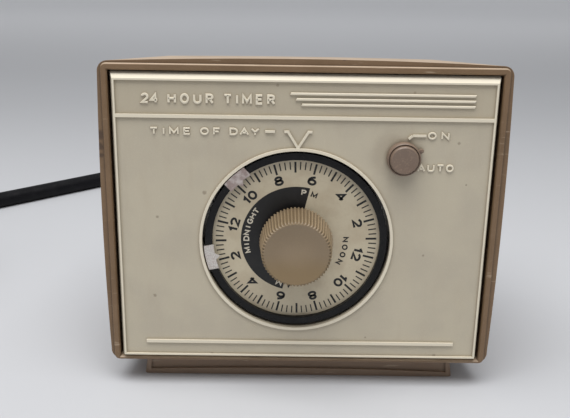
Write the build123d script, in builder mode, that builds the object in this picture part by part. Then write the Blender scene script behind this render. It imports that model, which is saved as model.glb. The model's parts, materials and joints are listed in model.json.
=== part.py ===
from build123d import *
import math
import os

# Twenty-four hour plug-in timer: a brown case on a pedestal, a cream front panel, a dial
# with two trippers, a mode knob, a geared synchronous motor, a switch, a rear receptacle
# and a supply cord that lies on the table behind the case.
# Millimetres. X is right and Y is away from a viewer in front. Z is up from the table.

# ---------------------------------------------------------------- driving dimensions
PANEL_W = 109.7
PANEL_LOW = 9.35           # lower and upper edges of the panel
PANEL_HIGH = 97.2
PANEL_Z = 53.15            # height that the panel's markings are placed from
FIELD_Y = -30.0            # front surface of the panel's flat field
RELIEF = 0.6               # height of the panel's raised lines and lips
PANEL_BACK_Y = -27.6
SKIRT_END_Y = -22.0
PANEL_GAP = 0.5

CASE_HALF_W = 58.1
CASE_BOTTOM = 7.9
CASE_TOP = 100.1
FLANGE_Y = -28.6
BEAD_RISE = 0.75
CASE_REAR_Y = 38.6
REAR_HALF_W = 49.6
REAR_TOP = 91.9
SIDE_BOW = 0.8
TOP_BOW = 1.25
REAR_TOP_BOW = 0.4
WALL = 2.3
BACK_Y = 40.6              # rearmost face

DIAL_X = -1.8
DIAL_Z = PANEL_Z - 5.4
HOLE_R = 27.7
RIM_R = 26.9
RIM_INNER_R = 24.8
DISC_R = 25.6
RIM_FRONT_Y = -29.4
DISC_FRONT_Y = -27.9
CARRIER_FRONT_Y = -27.2
CARRIER_BACK_Y = -26.0
KNOB_BACK_Y = -29.8
KNOB_FRONT_Y = -40.6
KNOB_BASE_R = 10.9
KNOB_FRONT_R = 10.0
KNOB_NECK_R = 8.5
KNOB_RIBS = 62
RIB_DEPTH = 0.45
ARBOR_R = 2.0
RUNNING = 0.05             # radial clearance of every running fit

PLATE_T = 1.2
FRONT_PLATE_Y = -20.0
REAR_PLATE_Y = -4.0
PLATE_GAP_Y = FRONT_PLATE_Y + PLATE_T

DIAL_TEETH = 48
IDLER_PINION_TEETH = 12
COARSE_MODULE = 0.8
IDLER_TEETH = 60
MOTOR_TEETH = 10
FINE_MODULE = 0.5
IDLER_BEARING = -35.0      # direction from the dial axis to the idler axis, degrees
MOTOR_BEARING = 200.0      # direction from the idler axis to the motor axis, degrees

MODE_X = 28.3
MODE_Z = PANEL_Z + 20.75
MODE_REST = 25.0           # direction of the mode knob's pointer at AUTO, degrees

TRIPPER_W = 7.6
ON_TRIPPER = 132.4         # directions of the trippers from the dial axis, degrees
OFF_TRIPPER = 191.8

LEVER_X = 14.0
LEVER_Z = 83.0

RECEPTACLE_X = -27.0
RECEPTACLE_Z = 58.0
CORD_X = 18.0
CORD_Z = 18.0
CORD_R = 3.75

SCREW_R = 1.2
SCREW_HOLE_R = 1.4

COARSE_CENTRES = COARSE_MODULE * (DIAL_TEETH + IDLER_PINION_TEETH) / 2
FINE_CENTRES = FINE_MODULE * (IDLER_TEETH + MOTOR_TEETH) / 2


def polar(x, z, radius, degrees):
    """The point at a distance and direction from (x, z), in the plane of the face."""
    angle = math.radians(degrees)
    return (x + radius * math.cos(angle), z + radius * math.sin(angle))


IDLER_X, IDLER_Z = polar(DIAL_X, DIAL_Z, COARSE_CENTRES, IDLER_BEARING)
MOTOR_X, MOTOR_Z = polar(IDLER_X, IDLER_Z, FINE_CENTRES, MOTOR_BEARING)

PANEL_SCREWS = [(x, z) for x in (-48.5, 48.5) for z in (16.5, 89.5)]
MOVEMENT_SCREWS = [(-35.0, 79.0), (-35.0, 17.5), (39.5, 32.0), (40.0, 62.0)]
PILLARS = [(-26.0, 69.0), (-26.0, 18.5), (34.0, 20.0), (34.0, 62.0)]
COVER_SCREWS = [(x, z) for x in (-43.4, 43.4) for z in (14.2, 85.6)]
BASE_SCREWS = [(x, y) for x in (-36.0, 36.0) for y in (-12.0, 22.0)]
SWITCH_SPACERS = [(11.0, 90.0), (41.0, 90.0)]
MOTOR_SCREWS = [(-18.0, 38.0), (20.4, 38.0)]

os.makedirs("parts", exist_ok=True)


# ---------------------------------------------------------------- shared helpers
def facing(y):
    """The plane at depth y that faces the viewer: sketch x is +X, sketch y is +Z."""
    return Plane.XZ.offset(-y)


def save(part, label):
    """Label one finished piece and write it as its own file."""
    part.label = label
    export_step(part, f"parts/{label}.step")


def rectangle_face(left, right, low, high, y, corner=0.0):
    """A rectangle that faces the viewer, given by its four sides."""
    with BuildSketch(facing(y)) as sketch:
        with Locations(((left + right) / 2, (low + high) / 2)):
            if corner > 0:
                RectangleRounded(right - left, high - low, corner)
            else:
                Rectangle(right - left, high - low)
    return sketch.sketch


def bowed_face(half_width, low, high, side_bow, top_bow, corner, y):
    """The case's outline: a flat bottom, with sides and a top that bulge a little."""
    middle = (low + high) / 2
    with BuildSketch(facing(y)) as sketch:
        with BuildLine():
            Line((half_width, low), (-half_width, low))
            ThreePointArc((-half_width, low), (-half_width - side_bow, middle), (-half_width, high))
            ThreePointArc((-half_width, high), (0, high + top_bow), (half_width, high))
            ThreePointArc((half_width, high), (half_width + side_bow, middle), (half_width, low))
        make_face()
        fillet(sketch.vertices(), corner)
    return sketch.sketch


def discs(points, radius, y):
    """Round faces at several points of the plane at depth y."""
    with BuildSketch(facing(y)) as sketch:
        with Locations(*points):
            Circle(radius)
    return sketch.sketch


def rod(x, z, radius, near, far):
    """A plain round bar along Y."""
    with BuildPart() as bar:
        with BuildSketch(facing(far)):
            with Locations((x, z)):
                Circle(radius)
        extrude(amount=far - near)
    return bar.part


def collar(x, z, outer, inner, near, far):
    """A plain round ring along Y."""
    with BuildPart() as ring:
        with BuildSketch(facing(far)):
            with Locations((x, z)):
                Circle(outer)
                Circle(inner, mode=Mode.SUBTRACT)
        extrude(amount=far - near)
    return ring.part


def box(left, right, near, far, low, high):
    """A block given by its six sides."""
    with BuildPart() as block:
        with Locations(((left + right) / 2, (near + far) / 2, (low + high) / 2)):
            Box(right - left, far - near, high - low)
    return block.part


def gear_face(x, z, teeth, module, first_tooth, bore, y):
    """A spur gear's outline with straight-sided teeth, one of them at first_tooth degrees."""
    pitch_r = module * teeth / 2
    root_r = pitch_r - 1.15 * module
    tip_r = pitch_r + 0.75 * module
    root_half = math.degrees(0.95 * module / pitch_r)
    pitch_half = math.degrees(0.56 * module / pitch_r)
    tip_half = math.degrees(0.30 * module / pitch_r)
    step = 360 / teeth
    corners = []
    for tooth in range(teeth):
        centre = first_tooth + tooth * step
        corners.append(polar(x, z, root_r, centre - root_half))
        corners.append(polar(x, z, pitch_r, centre - pitch_half))
        corners.append(polar(x, z, tip_r, centre - tip_half))
        corners.append(polar(x, z, tip_r, centre + tip_half))
        corners.append(polar(x, z, pitch_r, centre + pitch_half))
        corners.append(polar(x, z, root_r, centre + root_half))
    with BuildSketch(facing(y)) as sketch:
        with BuildLine():
            Polyline(*corners, close=True)
        make_face()
        with Locations((x, z)):
            Circle(bore, mode=Mode.SUBTRACT)
    return sketch.sketch


def screws(points, head_r, head_t, length, seat):
    """Round-head screws whose heads stand behind the depth seat and whose shanks run forward."""
    with BuildPart() as group:
        extrude(discs(points, head_r, seat + head_t), amount=head_t)
        fillet(group.edges().filter_by(GeomType.CIRCLE).group_by(Axis.Y)[-1], 0.45 * head_t)
        extrude(discs(points, SCREW_R, seat), amount=length)
        for x, z in points:
            add(box(x - 0.3, x + 0.3, seat + 0.55 * head_t, seat + head_t + 1, z - 3, z + 3),
                mode=Mode.SUBTRACT)
    return group.part


# ---------------------------------------------------------------- case shell
OPEN_W = PANEL_W / 2 + PANEL_GAP
OPEN_LOW = PANEL_LOW - 0.4
OPEN_HIGH = PANEL_HIGH + PANEL_GAP
BEAD = 1.9
CAVITY_FLOOR = CASE_BOTTOM + 2.2
LUG_T = 2.0
COVER_SEAT_Y = 37.0

# the raised bead that frames the panel, with a rounded crest and a bevelled mouth
with BuildPart() as bead:
    extrude(rectangle_face(-OPEN_W - BEAD, OPEN_W + BEAD, CASE_BOTTOM, OPEN_HIGH + BEAD,
                           FLANGE_Y + 1, 1.6), amount=BEAD_RISE + 1)
    fillet(bead.faces().sort_by(Axis.Y)[0].edges(), 0.45)
    extrude(rectangle_face(-OPEN_W, OPEN_W, OPEN_LOW, OPEN_HIGH, FLANGE_Y + 2), amount=4,
            mode=Mode.SUBTRACT)
    chamfer(bead.faces().sort_by(Axis.Y)[0].inner_wires()[0].edges(), 0.4)

with BuildPart() as case_shell:
    front_outline = bowed_face(CASE_HALF_W, CASE_BOTTOM, CASE_TOP, SIDE_BOW, TOP_BOW, 3.0,
                               FLANGE_Y)
    rear_outline = bowed_face(REAR_HALF_W, CASE_BOTTOM, REAR_TOP, 0.7 * SIDE_BOW,
                              REAR_TOP_BOW, 3.0, CASE_REAR_Y)
    loft([front_outline, rear_outline])
    add(bead.part)
    # the opening that holds the panel
    extrude(rectangle_face(-OPEN_W, OPEN_W, OPEN_LOW, OPEN_HIGH, SKIRT_END_Y),
            amount=SKIRT_END_Y - FLANGE_Y + BEAD_RISE, mode=Mode.SUBTRACT)
    # the cavity behind the panel's ledge
    loft([rectangle_face(-OPEN_W + 1.4, OPEN_W - 1.4, CAVITY_FLOOR, OPEN_HIGH - 1.2,
                         SKIRT_END_Y),
          rectangle_face(-REAR_HALF_W + WALL, REAR_HALF_W - WALL, CAVITY_FLOOR,
                         REAR_TOP - WALL, CASE_REAR_Y)], mode=Mode.SUBTRACT)
    # corner lugs for the panel's screws
    for side in (-1, 1):
        inner, outer = sorted((side * 43.6, side * 55.0))
        add(box(inner, outer, SKIRT_END_Y, SKIRT_END_Y + LUG_T, CASE_BOTTOM + 1, 21.5))
        add(box(inner, outer, SKIRT_END_Y, SKIRT_END_Y + LUG_T, 84.5, 98.0))
    extrude(discs(PANEL_SCREWS, SCREW_HOLE_R, SKIRT_END_Y + LUG_T), amount=LUG_T,
            mode=Mode.SUBTRACT)
    # rear posts for the back cover's screws
    extrude(discs(COVER_SCREWS, 3.4, COVER_SEAT_Y), amount=16)
    for x, z in COVER_SCREWS:
        side = 1 if x > 0 else -1
        left, right = sorted((x, side * (REAR_HALF_W - 1)))
        add(box(left, right, COVER_SEAT_Y - 16, COVER_SEAT_Y, z - 1, z + 1))
    extrude(discs(COVER_SCREWS, SCREW_R, COVER_SEAT_Y), amount=12, mode=Mode.SUBTRACT)
    # pilot holes in the floor for the pedestal's screws
    for x, y in BASE_SCREWS:
        with Locations((x, y, CASE_BOTTOM)):
            Cylinder(SCREW_R, 10, mode=Mode.SUBTRACT)
save(case_shell.part, "case_shell")

# ---------------------------------------------------------------- front panel
LIP_Y = FIELD_Y - RELIEF
LIP = 0.55
LIP_FACE_HALF_W = PANEL_W / 2 - 1.0
LIP_FACE_LOW = PANEL_LOW + 0.9
LIP_FACE_HIGH = PANEL_HIGH - 1.5
TITLE_RIB_Z = PANEL_Z + 31.95
LOWER_RIB_Z = PANEL_Z - 38.2
RIB_T = 1.0
POINTER_HALF_W = 2.9
POINTER_SERIF = 1.1
POINTER_T = 0.7
RING_W = 0.85
POINTER_TOP_Z = PANEL_Z + 27.9
MODE_BUSH_END_Y = -23.0


def stroke(start, end, width):
    """A straight raised line on the panel's field."""
    middle = ((start[0] + end[0]) / 2, (start[1] + end[1]) / 2)
    run = (end[0] - start[0], end[1] - start[1])
    with BuildSketch(facing(FIELD_Y)) as sketch:
        with Locations(middle):
            Rectangle(math.hypot(*run), width, rotation=math.degrees(math.atan2(run[1], run[0])))
    return extrude(sketch.sketch, amount=RELIEF - 0.05)


pointer_tip = (DIAL_X, DIAL_Z + HOLE_R + RING_W)
pointer_left = (pointer_tip[0] - POINTER_HALF_W, POINTER_TOP_Z)
pointer_right = (pointer_tip[0] + POINTER_HALF_W, POINTER_TOP_Z)
on_corner = (30.6, PANEL_Z + 27.25)
strokes = [
    stroke(pointer_left, pointer_tip, POINTER_T),
    stroke(pointer_right, pointer_tip, POINTER_T),
    stroke((pointer_left[0] - POINTER_SERIF, POINTER_TOP_Z),
           (pointer_left[0] + POINTER_T / 2, POINTER_TOP_Z), POINTER_T),
    stroke((pointer_right[0] - POINTER_T / 2, POINTER_TOP_Z),
           (pointer_right[0] + POINTER_SERIF, POINTER_TOP_Z), POINTER_T),
    stroke((-11.2, PANEL_Z + 27.9), (-8.4, PANEL_Z + 27.9), 0.7),
    stroke((29.5, PANEL_Z + 26.3), on_corner, 0.7),
    stroke(on_corner, (34.5, PANEL_Z + 27.25), 0.7),
]

with BuildPart() as front_panel:
    # the bevelled front: narrow at the sides and bottom, wider along the top
    loft([rectangle_face(-PANEL_W / 2, PANEL_W / 2, PANEL_LOW, PANEL_HIGH, PANEL_BACK_Y),
          rectangle_face(-LIP_FACE_HALF_W, LIP_FACE_HALF_W, LIP_FACE_LOW, LIP_FACE_HIGH, LIP_Y)])
    extrude(rectangle_face(-PANEL_W / 2, PANEL_W / 2, PANEL_LOW, PANEL_HIGH, SKIRT_END_Y),
            amount=SKIRT_END_Y - PANEL_BACK_Y)
    extrude(rectangle_face(-LIP_FACE_HALF_W + LIP, LIP_FACE_HALF_W - LIP, LIP_FACE_LOW + LIP,
                           LIP_FACE_HIGH - LIP, FIELD_Y), amount=2, mode=Mode.SUBTRACT)
    extrude(rectangle_face(-PANEL_W / 2 + 2.2, PANEL_W / 2 - 2.2, PANEL_LOW + 2.2,
                           PANEL_HIGH - 2.2, SKIRT_END_Y),
            amount=SKIRT_END_Y - PANEL_BACK_Y, mode=Mode.SUBTRACT)
    # raised lines, pointer and the ring round the dial
    extrude(rectangle_face(-LIP_FACE_HALF_W, LIP_FACE_HALF_W, TITLE_RIB_Z - RIB_T / 2,
                           TITLE_RIB_Z + RIB_T / 2, FIELD_Y), amount=RELIEF)
    extrude(rectangle_face(-47.0, 47.0, LOWER_RIB_Z - RIB_T / 2, LOWER_RIB_Z + RIB_T / 2,
                           FIELD_Y), amount=RELIEF)
    for line in strokes:
        add(line)
    extrude(discs([(DIAL_X, DIAL_Z)], HOLE_R + RING_W, FIELD_Y), amount=RELIEF)
    # posts for the panel's and the movement's screws, and the mode knob's bush
    extrude(discs(PANEL_SCREWS, 3.0, SKIRT_END_Y), amount=SKIRT_END_Y - PANEL_BACK_Y)
    extrude(discs(MOVEMENT_SCREWS, 3.0, FRONT_PLATE_Y), amount=FRONT_PLATE_Y - PANEL_BACK_Y)
    extrude(discs([(MODE_X, MODE_Z)], 4.5, MODE_BUSH_END_Y),
            amount=MODE_BUSH_END_Y - PANEL_BACK_Y)
    extrude(discs(PANEL_SCREWS, SCREW_R, SKIRT_END_Y), amount=6, mode=Mode.SUBTRACT)
    extrude(discs(MOVEMENT_SCREWS, SCREW_R, FRONT_PLATE_Y), amount=7, mode=Mode.SUBTRACT)
    extrude(discs([(MODE_X, MODE_Z)], ARBOR_R + RUNNING, MODE_BUSH_END_Y), amount=9,
            mode=Mode.SUBTRACT)
    extrude(discs([(DIAL_X, DIAL_Z)], HOLE_R, SKIRT_END_Y), amount=10, mode=Mode.SUBTRACT)
save(front_panel.part, "front_panel")

# ---------------------------------------------------------------- pedestal
PEDESTAL_HALF_W = 49.0
PEDESTAL_FRONT_Y = -23.6
PEDESTAL_REAR_Y = 33.0
PEDESTAL_DRAFT = 1.1
PEDESTAL_WALL = 2.2


def level_rectangle(half_width, near, far, height):
    """A level rectangle at a height."""
    with BuildSketch(Plane.XY.offset(height)) as sketch:
        with Locations((0, (near + far) / 2)):
            Rectangle(2 * half_width, far - near)
    return sketch.sketch


with BuildPart() as base_pedestal:
    loft([level_rectangle(PEDESTAL_HALF_W, PEDESTAL_FRONT_Y, PEDESTAL_REAR_Y, 0),
          level_rectangle(PEDESTAL_HALF_W - PEDESTAL_DRAFT, PEDESTAL_FRONT_Y + 0.6,
                          PEDESTAL_REAR_Y - 0.6, CASE_BOTTOM)])
    fillet(base_pedestal.edges().filter_by(lambda e: abs(e.tangent_at(0.5).Z) > 0.9), 1.2)
    # a tray that is open towards the case's floor
    extrude(level_rectangle(PEDESTAL_HALF_W - PEDESTAL_DRAFT - PEDESTAL_WALL,
                            PEDESTAL_FRONT_Y + 0.6 + PEDESTAL_WALL,
                            PEDESTAL_REAR_Y - 0.6 - PEDESTAL_WALL, PEDESTAL_WALL),
            amount=CASE_BOTTOM, mode=Mode.SUBTRACT)
    # the sunk front field, whose lower border is a little deeper in the middle
    with BuildSketch(facing(PEDESTAL_FRONT_Y + 1.0)) as front_field:
        with BuildLine():
            Line((-46.6, CASE_BOTTOM), (-47.0, 1.5))
            ThreePointArc((-47.0, 1.5), (0, 2.3), (47.0, 1.5))
            Line((47.0, 1.5), (46.6, CASE_BOTTOM))
            Line((46.6, CASE_BOTTOM), (-46.6, CASE_BOTTOM))
        make_face()
    extrude(front_field.sketch, amount=2, mode=Mode.SUBTRACT)
    for x, y in BASE_SCREWS:
        with Locations((x, y, CASE_BOTTOM / 2)):
            Cylinder(4.2, CASE_BOTTOM)
        with Locations((x, y, CASE_BOTTOM / 2)):
            Cylinder(SCREW_HOLE_R, CASE_BOTTOM + 1, mode=Mode.SUBTRACT)
        with Locations((x, y, 1.5)):
            Cylinder(2.9, 3, mode=Mode.SUBTRACT)
save(base_pedestal.part, "base_pedestal")

# ---------------------------------------------------------------- back cover and receptacle
COVER_IN_HALF_W = REAR_HALF_W - WALL - 0.3
COVER_IN_LOW = CAVITY_FLOOR + 0.3
COVER_IN_HIGH = REAR_TOP - WALL - 0.3
RECEPTACLE_HALF_W = 13.0
RECEPTACLE_HALF_H = 17.0
BLADE_SPACING = 12.7
EXIT_R = 6.0

with BuildPart() as cover_flange:
    extrude(rectangle_face(-REAR_HALF_W + 0.4, REAR_HALF_W - 0.4, CASE_BOTTOM + 0.4,
                           REAR_TOP - 0.4, BACK_Y, 2.6), amount=BACK_Y - CASE_REAR_Y)
    chamfer(cover_flange.faces().sort_by(Axis.Y)[-1].edges(), 0.5)

with BuildPart() as back_cover:
    extrude(rectangle_face(-COVER_IN_HALF_W, COVER_IN_HALF_W, COVER_IN_LOW, COVER_IN_HIGH,
                           CASE_REAR_Y), amount=CASE_REAR_Y - COVER_SEAT_Y)
    add(cover_flange.part)
    extrude(rectangle_face(RECEPTACLE_X - RECEPTACLE_HALF_W, RECEPTACLE_X + RECEPTACLE_HALF_W,
                           RECEPTACLE_Z - RECEPTACLE_HALF_H, RECEPTACLE_Z + RECEPTACLE_HALF_H,
                           BACK_Y, 2.0), amount=10, mode=Mode.SUBTRACT)
    extrude(discs([(CORD_X, CORD_Z)], EXIT_R, BACK_Y), amount=10, mode=Mode.SUBTRACT)
    extrude(discs(COVER_SCREWS, SCREW_HOLE_R, BACK_Y), amount=10, mode=Mode.SUBTRACT)
    extrude(discs(COVER_SCREWS, 2.6, BACK_Y), amount=1.9, mode=Mode.SUBTRACT)
    # a row of narrow vents
    with BuildSketch(facing(BACK_Y)) as vents:
        with Locations((22, 60)):
            with GridLocations(5.0, 0, 7, 1):
                SlotOverall(24, 2.0, rotation=90)
    extrude(vents.sketch, amount=10, mode=Mode.SUBTRACT)
save(back_cover.part, "back_cover")

CONTACT_T = 0.8
SLOT_W = 1.9
POCKET_W = 3.2
POCKET_END_Y = 37.6
RECEPTACLE_FRONT_Y = 25.5
FLANGE_REACH = 2.2
SLOTS = [(RECEPTACLE_X + side * BLADE_SPACING / 2, RECEPTACLE_Z) for side in (-1, 1)]

with BuildPart() as receptacle_body:
    extrude(rectangle_face(RECEPTACLE_X - RECEPTACLE_HALF_W + 0.1,
                           RECEPTACLE_X + RECEPTACLE_HALF_W - 0.1,
                           RECEPTACLE_Z - RECEPTACLE_HALF_H + 0.1,
                           RECEPTACLE_Z + RECEPTACLE_HALF_H - 0.1, BACK_Y, 1.9),
            amount=BACK_Y - RECEPTACLE_FRONT_Y)
    extrude(rectangle_face(RECEPTACLE_X - RECEPTACLE_HALF_W - FLANGE_REACH,
                           RECEPTACLE_X + RECEPTACLE_HALF_W + FLANGE_REACH,
                           RECEPTACLE_Z - RECEPTACLE_HALF_H - FLANGE_REACH,
                           RECEPTACLE_Z + RECEPTACLE_HALF_H + FLANGE_REACH, COVER_SEAT_Y),
            amount=1.6)
    with BuildSketch(facing(BACK_Y)) as blade_slots:
        with Locations(*SLOTS):
            Rectangle(SLOT_W, 8.0)
    extrude(blade_slots.sketch, amount=5, mode=Mode.SUBTRACT)
    with BuildSketch(facing(POCKET_END_Y)) as pockets:
        with Locations(*SLOTS):
            Rectangle(POCKET_W, 8.6)
    extrude(pockets.sketch, amount=20, mode=Mode.SUBTRACT)
save(receptacle_body.part, "receptacle_body")

TAB_END_Y = 18.0
with BuildPart() as receptacle_contacts:
    for x, z in SLOTS:
        side = 1 if x > RECEPTACLE_X else -1
        left, right = sorted((x + side * (POCKET_W / 2 - CONTACT_T), x + side * POCKET_W / 2))
        add(box(left, right, TAB_END_Y, POCKET_END_Y - 0.5, z - 3.1, z + 3.1))
save(receptacle_contacts.part, "receptacle_contacts")

# ---------------------------------------------------------------- fasteners of the housing
save(screws(PANEL_SCREWS, 2.6, 1.8, 7.5, SKIRT_END_Y + LUG_T), "panel_screws")
save(screws(COVER_SCREWS, 2.4, 1.6, 12.0, BACK_Y - 1.9), "cover_screws")

with BuildPart() as base_screws:
    for x, y in BASE_SCREWS:
        with Locations((x, y, 1.9)):
            Cylinder(2.7, 2.2)
        with Locations((x, y, 6.4)):
            Cylinder(SCREW_R, 6.8)
        add(box(x - 2, x + 2, y - 0.3, y + 0.3, 0, 1.6), mode=Mode.SUBTRACT)
save(base_screws.part, "base_screws")

# ---------------------------------------------------------------- movement frame
FRONT_PLATE = (-39.0, 43.2, 13.5, 93.5)
REAR_PLATE = (-31.0, 39.0, 13.5, 74.0)
PIVOT_R = 1.0
ARBOR_PIVOT_R = 1.5
SPINDLE_R = 1.5
BUSH_R = 4.5
NOSE_R = 5.0
PLATE_REAR_Y = REAR_PLATE_Y + PLATE_T

with BuildPart() as movement_front_plate:
    extrude(rectangle_face(*FRONT_PLATE, PLATE_GAP_Y, 4.0), amount=PLATE_T)
    for points, radius in ((MOVEMENT_SCREWS, SCREW_HOLE_R), (PILLARS, SCREW_HOLE_R),
                           ([(DIAL_X, DIAL_Z)], BUSH_R), ([(MODE_X, MODE_Z)], 3.0),
                           ([(IDLER_X, IDLER_Z)], PIVOT_R + RUNNING),
                           ([(LEVER_X, LEVER_Z)], SPINDLE_R + RUNNING)):
        extrude(discs(points, radius, PLATE_GAP_Y), amount=PLATE_T, mode=Mode.SUBTRACT)
save(movement_front_plate.part, "movement_front_plate")

with BuildPart() as movement_rear_plate:
    extrude(rectangle_face(*REAR_PLATE, PLATE_REAR_Y, 4.0), amount=PLATE_T)
    for points, radius in ((PILLARS, SCREW_HOLE_R), (MOTOR_SCREWS, SCREW_R),
                           ([(DIAL_X, DIAL_Z)], ARBOR_PIVOT_R + RUNNING),
                           ([(IDLER_X, IDLER_Z)], PIVOT_R + RUNNING),
                           ([(MOTOR_X, MOTOR_Z)], NOSE_R + 0.1)):
        extrude(discs(points, radius, PLATE_REAR_Y), amount=PLATE_T, mode=Mode.SUBTRACT)
save(movement_rear_plate.part, "movement_rear_plate")

with BuildPart() as plate_pillars:
    extrude(discs(PILLARS, 2.6, REAR_PLATE_Y), amount=REAR_PLATE_Y - PLATE_GAP_Y)
    extrude(discs(PILLARS, SCREW_R, REAR_PLATE_Y), amount=8, mode=Mode.SUBTRACT)
save(plate_pillars.part, "plate_pillars")

save(screws(PILLARS, 2.3, 1.4, 7.0, PLATE_REAR_Y), "pillar_screws")
save(screws(MOVEMENT_SCREWS, 2.3, 1.4, 7.0, PLATE_GAP_Y), "movement_screws")

BUSH_FLANGE_Y = -21.6
BUSH_END_Y = -17.5
with BuildPart() as dial_bush:
    add(collar(DIAL_X, DIAL_Z, 6.2, ARBOR_R + RUNNING, BUSH_FLANGE_Y, FRONT_PLATE_Y))
    add(collar(DIAL_X, DIAL_Z, BUSH_R, ARBOR_R + RUNNING, FRONT_PLATE_Y, BUSH_END_Y))
save(dial_bush.part, "dial_bush")

# ---------------------------------------------------------------- dial
ARBOR_FRONT_Y = -36.5
ARBOR_SHOULDER_Y = -4.4
DIAL_GEAR_Y = -12.0
DIAL_GEAR_T = 2.0
HUB_R = 6.0
HUB_END_Y = -22.5

with BuildPart() as dial_arbor:
    add(rod(DIAL_X, DIAL_Z, ARBOR_R, ARBOR_FRONT_Y, ARBOR_SHOULDER_Y))
    add(rod(DIAL_X, DIAL_Z, ARBOR_PIVOT_R, ARBOR_SHOULDER_Y, -1.6))
save(dial_arbor.part, "dial_arbor")


def ribbed_face(crest_r, valley_r, y):
    """The knob's outline: a ring of fine ribs."""
    corners = []
    for rib in range(KNOB_RIBS):
        corners.append(polar(DIAL_X, DIAL_Z, crest_r, rib * 360 / KNOB_RIBS))
        corners.append(polar(DIAL_X, DIAL_Z, valley_r, (rib + 0.5) * 360 / KNOB_RIBS))
    with BuildSketch(facing(y)) as sketch:
        with BuildLine():
            Polyline(*corners, close=True)
        make_face()
    return sketch.sketch


KNOB_EDGE_Y = KNOB_FRONT_Y + 0.8
KNOB_FACE_R = KNOB_FRONT_R - 0.7
with BuildPart() as time_knob:
    add(rod(DIAL_X, DIAL_Z, KNOB_NECK_R, KNOB_BACK_Y, DISC_FRONT_Y))
    loft([ribbed_face(KNOB_BASE_R, KNOB_BASE_R - RIB_DEPTH, KNOB_BACK_Y),
          ribbed_face(KNOB_FRONT_R, KNOB_FRONT_R - RIB_DEPTH, KNOB_EDGE_Y)], ruled=True)
    # the edge narrows from the ribs to the round face
    loft([discs([(DIAL_X, DIAL_Z)], KNOB_FRONT_R - RIB_DEPTH, KNOB_EDGE_Y),
          discs([(DIAL_X, DIAL_Z)], KNOB_FACE_R, KNOB_FRONT_Y)])
    extrude(discs([(DIAL_X, DIAL_Z)], ARBOR_R, DISC_FRONT_Y),
            amount=DISC_FRONT_Y - ARBOR_FRONT_Y, mode=Mode.SUBTRACT)
save(time_knob.part, "time_knob")

save(collar(DIAL_X, DIAL_Z, DISC_R, ARBOR_R, DISC_FRONT_Y, CARRIER_FRONT_Y), "dial_disc")

with BuildPart() as dial_rim:
    add(collar(DIAL_X, DIAL_Z, RIM_R, RIM_INNER_R, RIM_FRONT_Y, DISC_FRONT_Y))
    add(collar(DIAL_X, DIAL_Z, RIM_R, DISC_R, DISC_FRONT_Y, CARRIER_FRONT_Y))
save(dial_rim.part, "dial_rim")

with BuildPart() as dial_carrier:
    add(collar(DIAL_X, DIAL_Z, RIM_R, ARBOR_R, CARRIER_FRONT_Y, CARRIER_BACK_Y))
    add(collar(DIAL_X, DIAL_Z, HUB_R, ARBOR_R, CARRIER_BACK_Y, HUB_END_Y))
save(dial_carrier.part, "dial_carrier")

save(collar(DIAL_X, DIAL_Z, 5.0, 2.6, HUB_END_Y, HUB_END_Y + 0.5), "clutch_washer")

with BuildPart() as dial_gear:
    extrude(gear_face(DIAL_X, DIAL_Z, DIAL_TEETH, COARSE_MODULE, IDLER_BEARING, ARBOR_R,
                      DIAL_GEAR_Y), amount=DIAL_GEAR_T)
    add(collar(DIAL_X, DIAL_Z, 5.0, ARBOR_R, BUSH_END_Y + 0.4, DIAL_GEAR_Y - DIAL_GEAR_T))
    with BuildSketch(facing(DIAL_GEAR_Y)) as lightening:
        with Locations((DIAL_X, DIAL_Z)):
            with PolarLocations(11.0, 5):
                Circle(3.6)
    extrude(lightening.sketch, amount=DIAL_GEAR_T, mode=Mode.SUBTRACT)
save(dial_gear.part, "dial_gear")

save(collar(DIAL_X, DIAL_Z, 4.2, ARBOR_R, -8.6, -8.0), "dial_clip")

# ---------------------------------------------------------------- trippers
CLIP_FRONT_Y = -30.0
CLIP_PLATE_BACK_Y = RIM_FRONT_Y - 0.05
CLIP_LEG_IN_R = RIM_R + 0.1
CLIP_LEG_OUT_R = RIM_R + 0.45
CLIP_JAW_Y = CARRIER_BACK_Y + 0.05
CLIP_BACK_Y = CLIP_JAW_Y + 0.4
CLIP_TAIL_R = 29.3
CLIP_PLATE_IN_R = 24.4


def sector_face(inner, outer, width, degrees, y):
    """A piece of a ring about the dial axis, with straight parallel ends."""
    middle = (inner + outer) / 2
    with BuildSketch(facing(y)) as sketch:
        with Locations((DIAL_X, DIAL_Z)):
            Circle(outer)
            Circle(inner, mode=Mode.SUBTRACT)
        with Locations(polar(DIAL_X, DIAL_Z, middle, degrees)):
            Rectangle(2 * (outer - inner) + 6, width, rotation=degrees, mode=Mode.INTERSECT)
    return sketch.sketch


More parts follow.
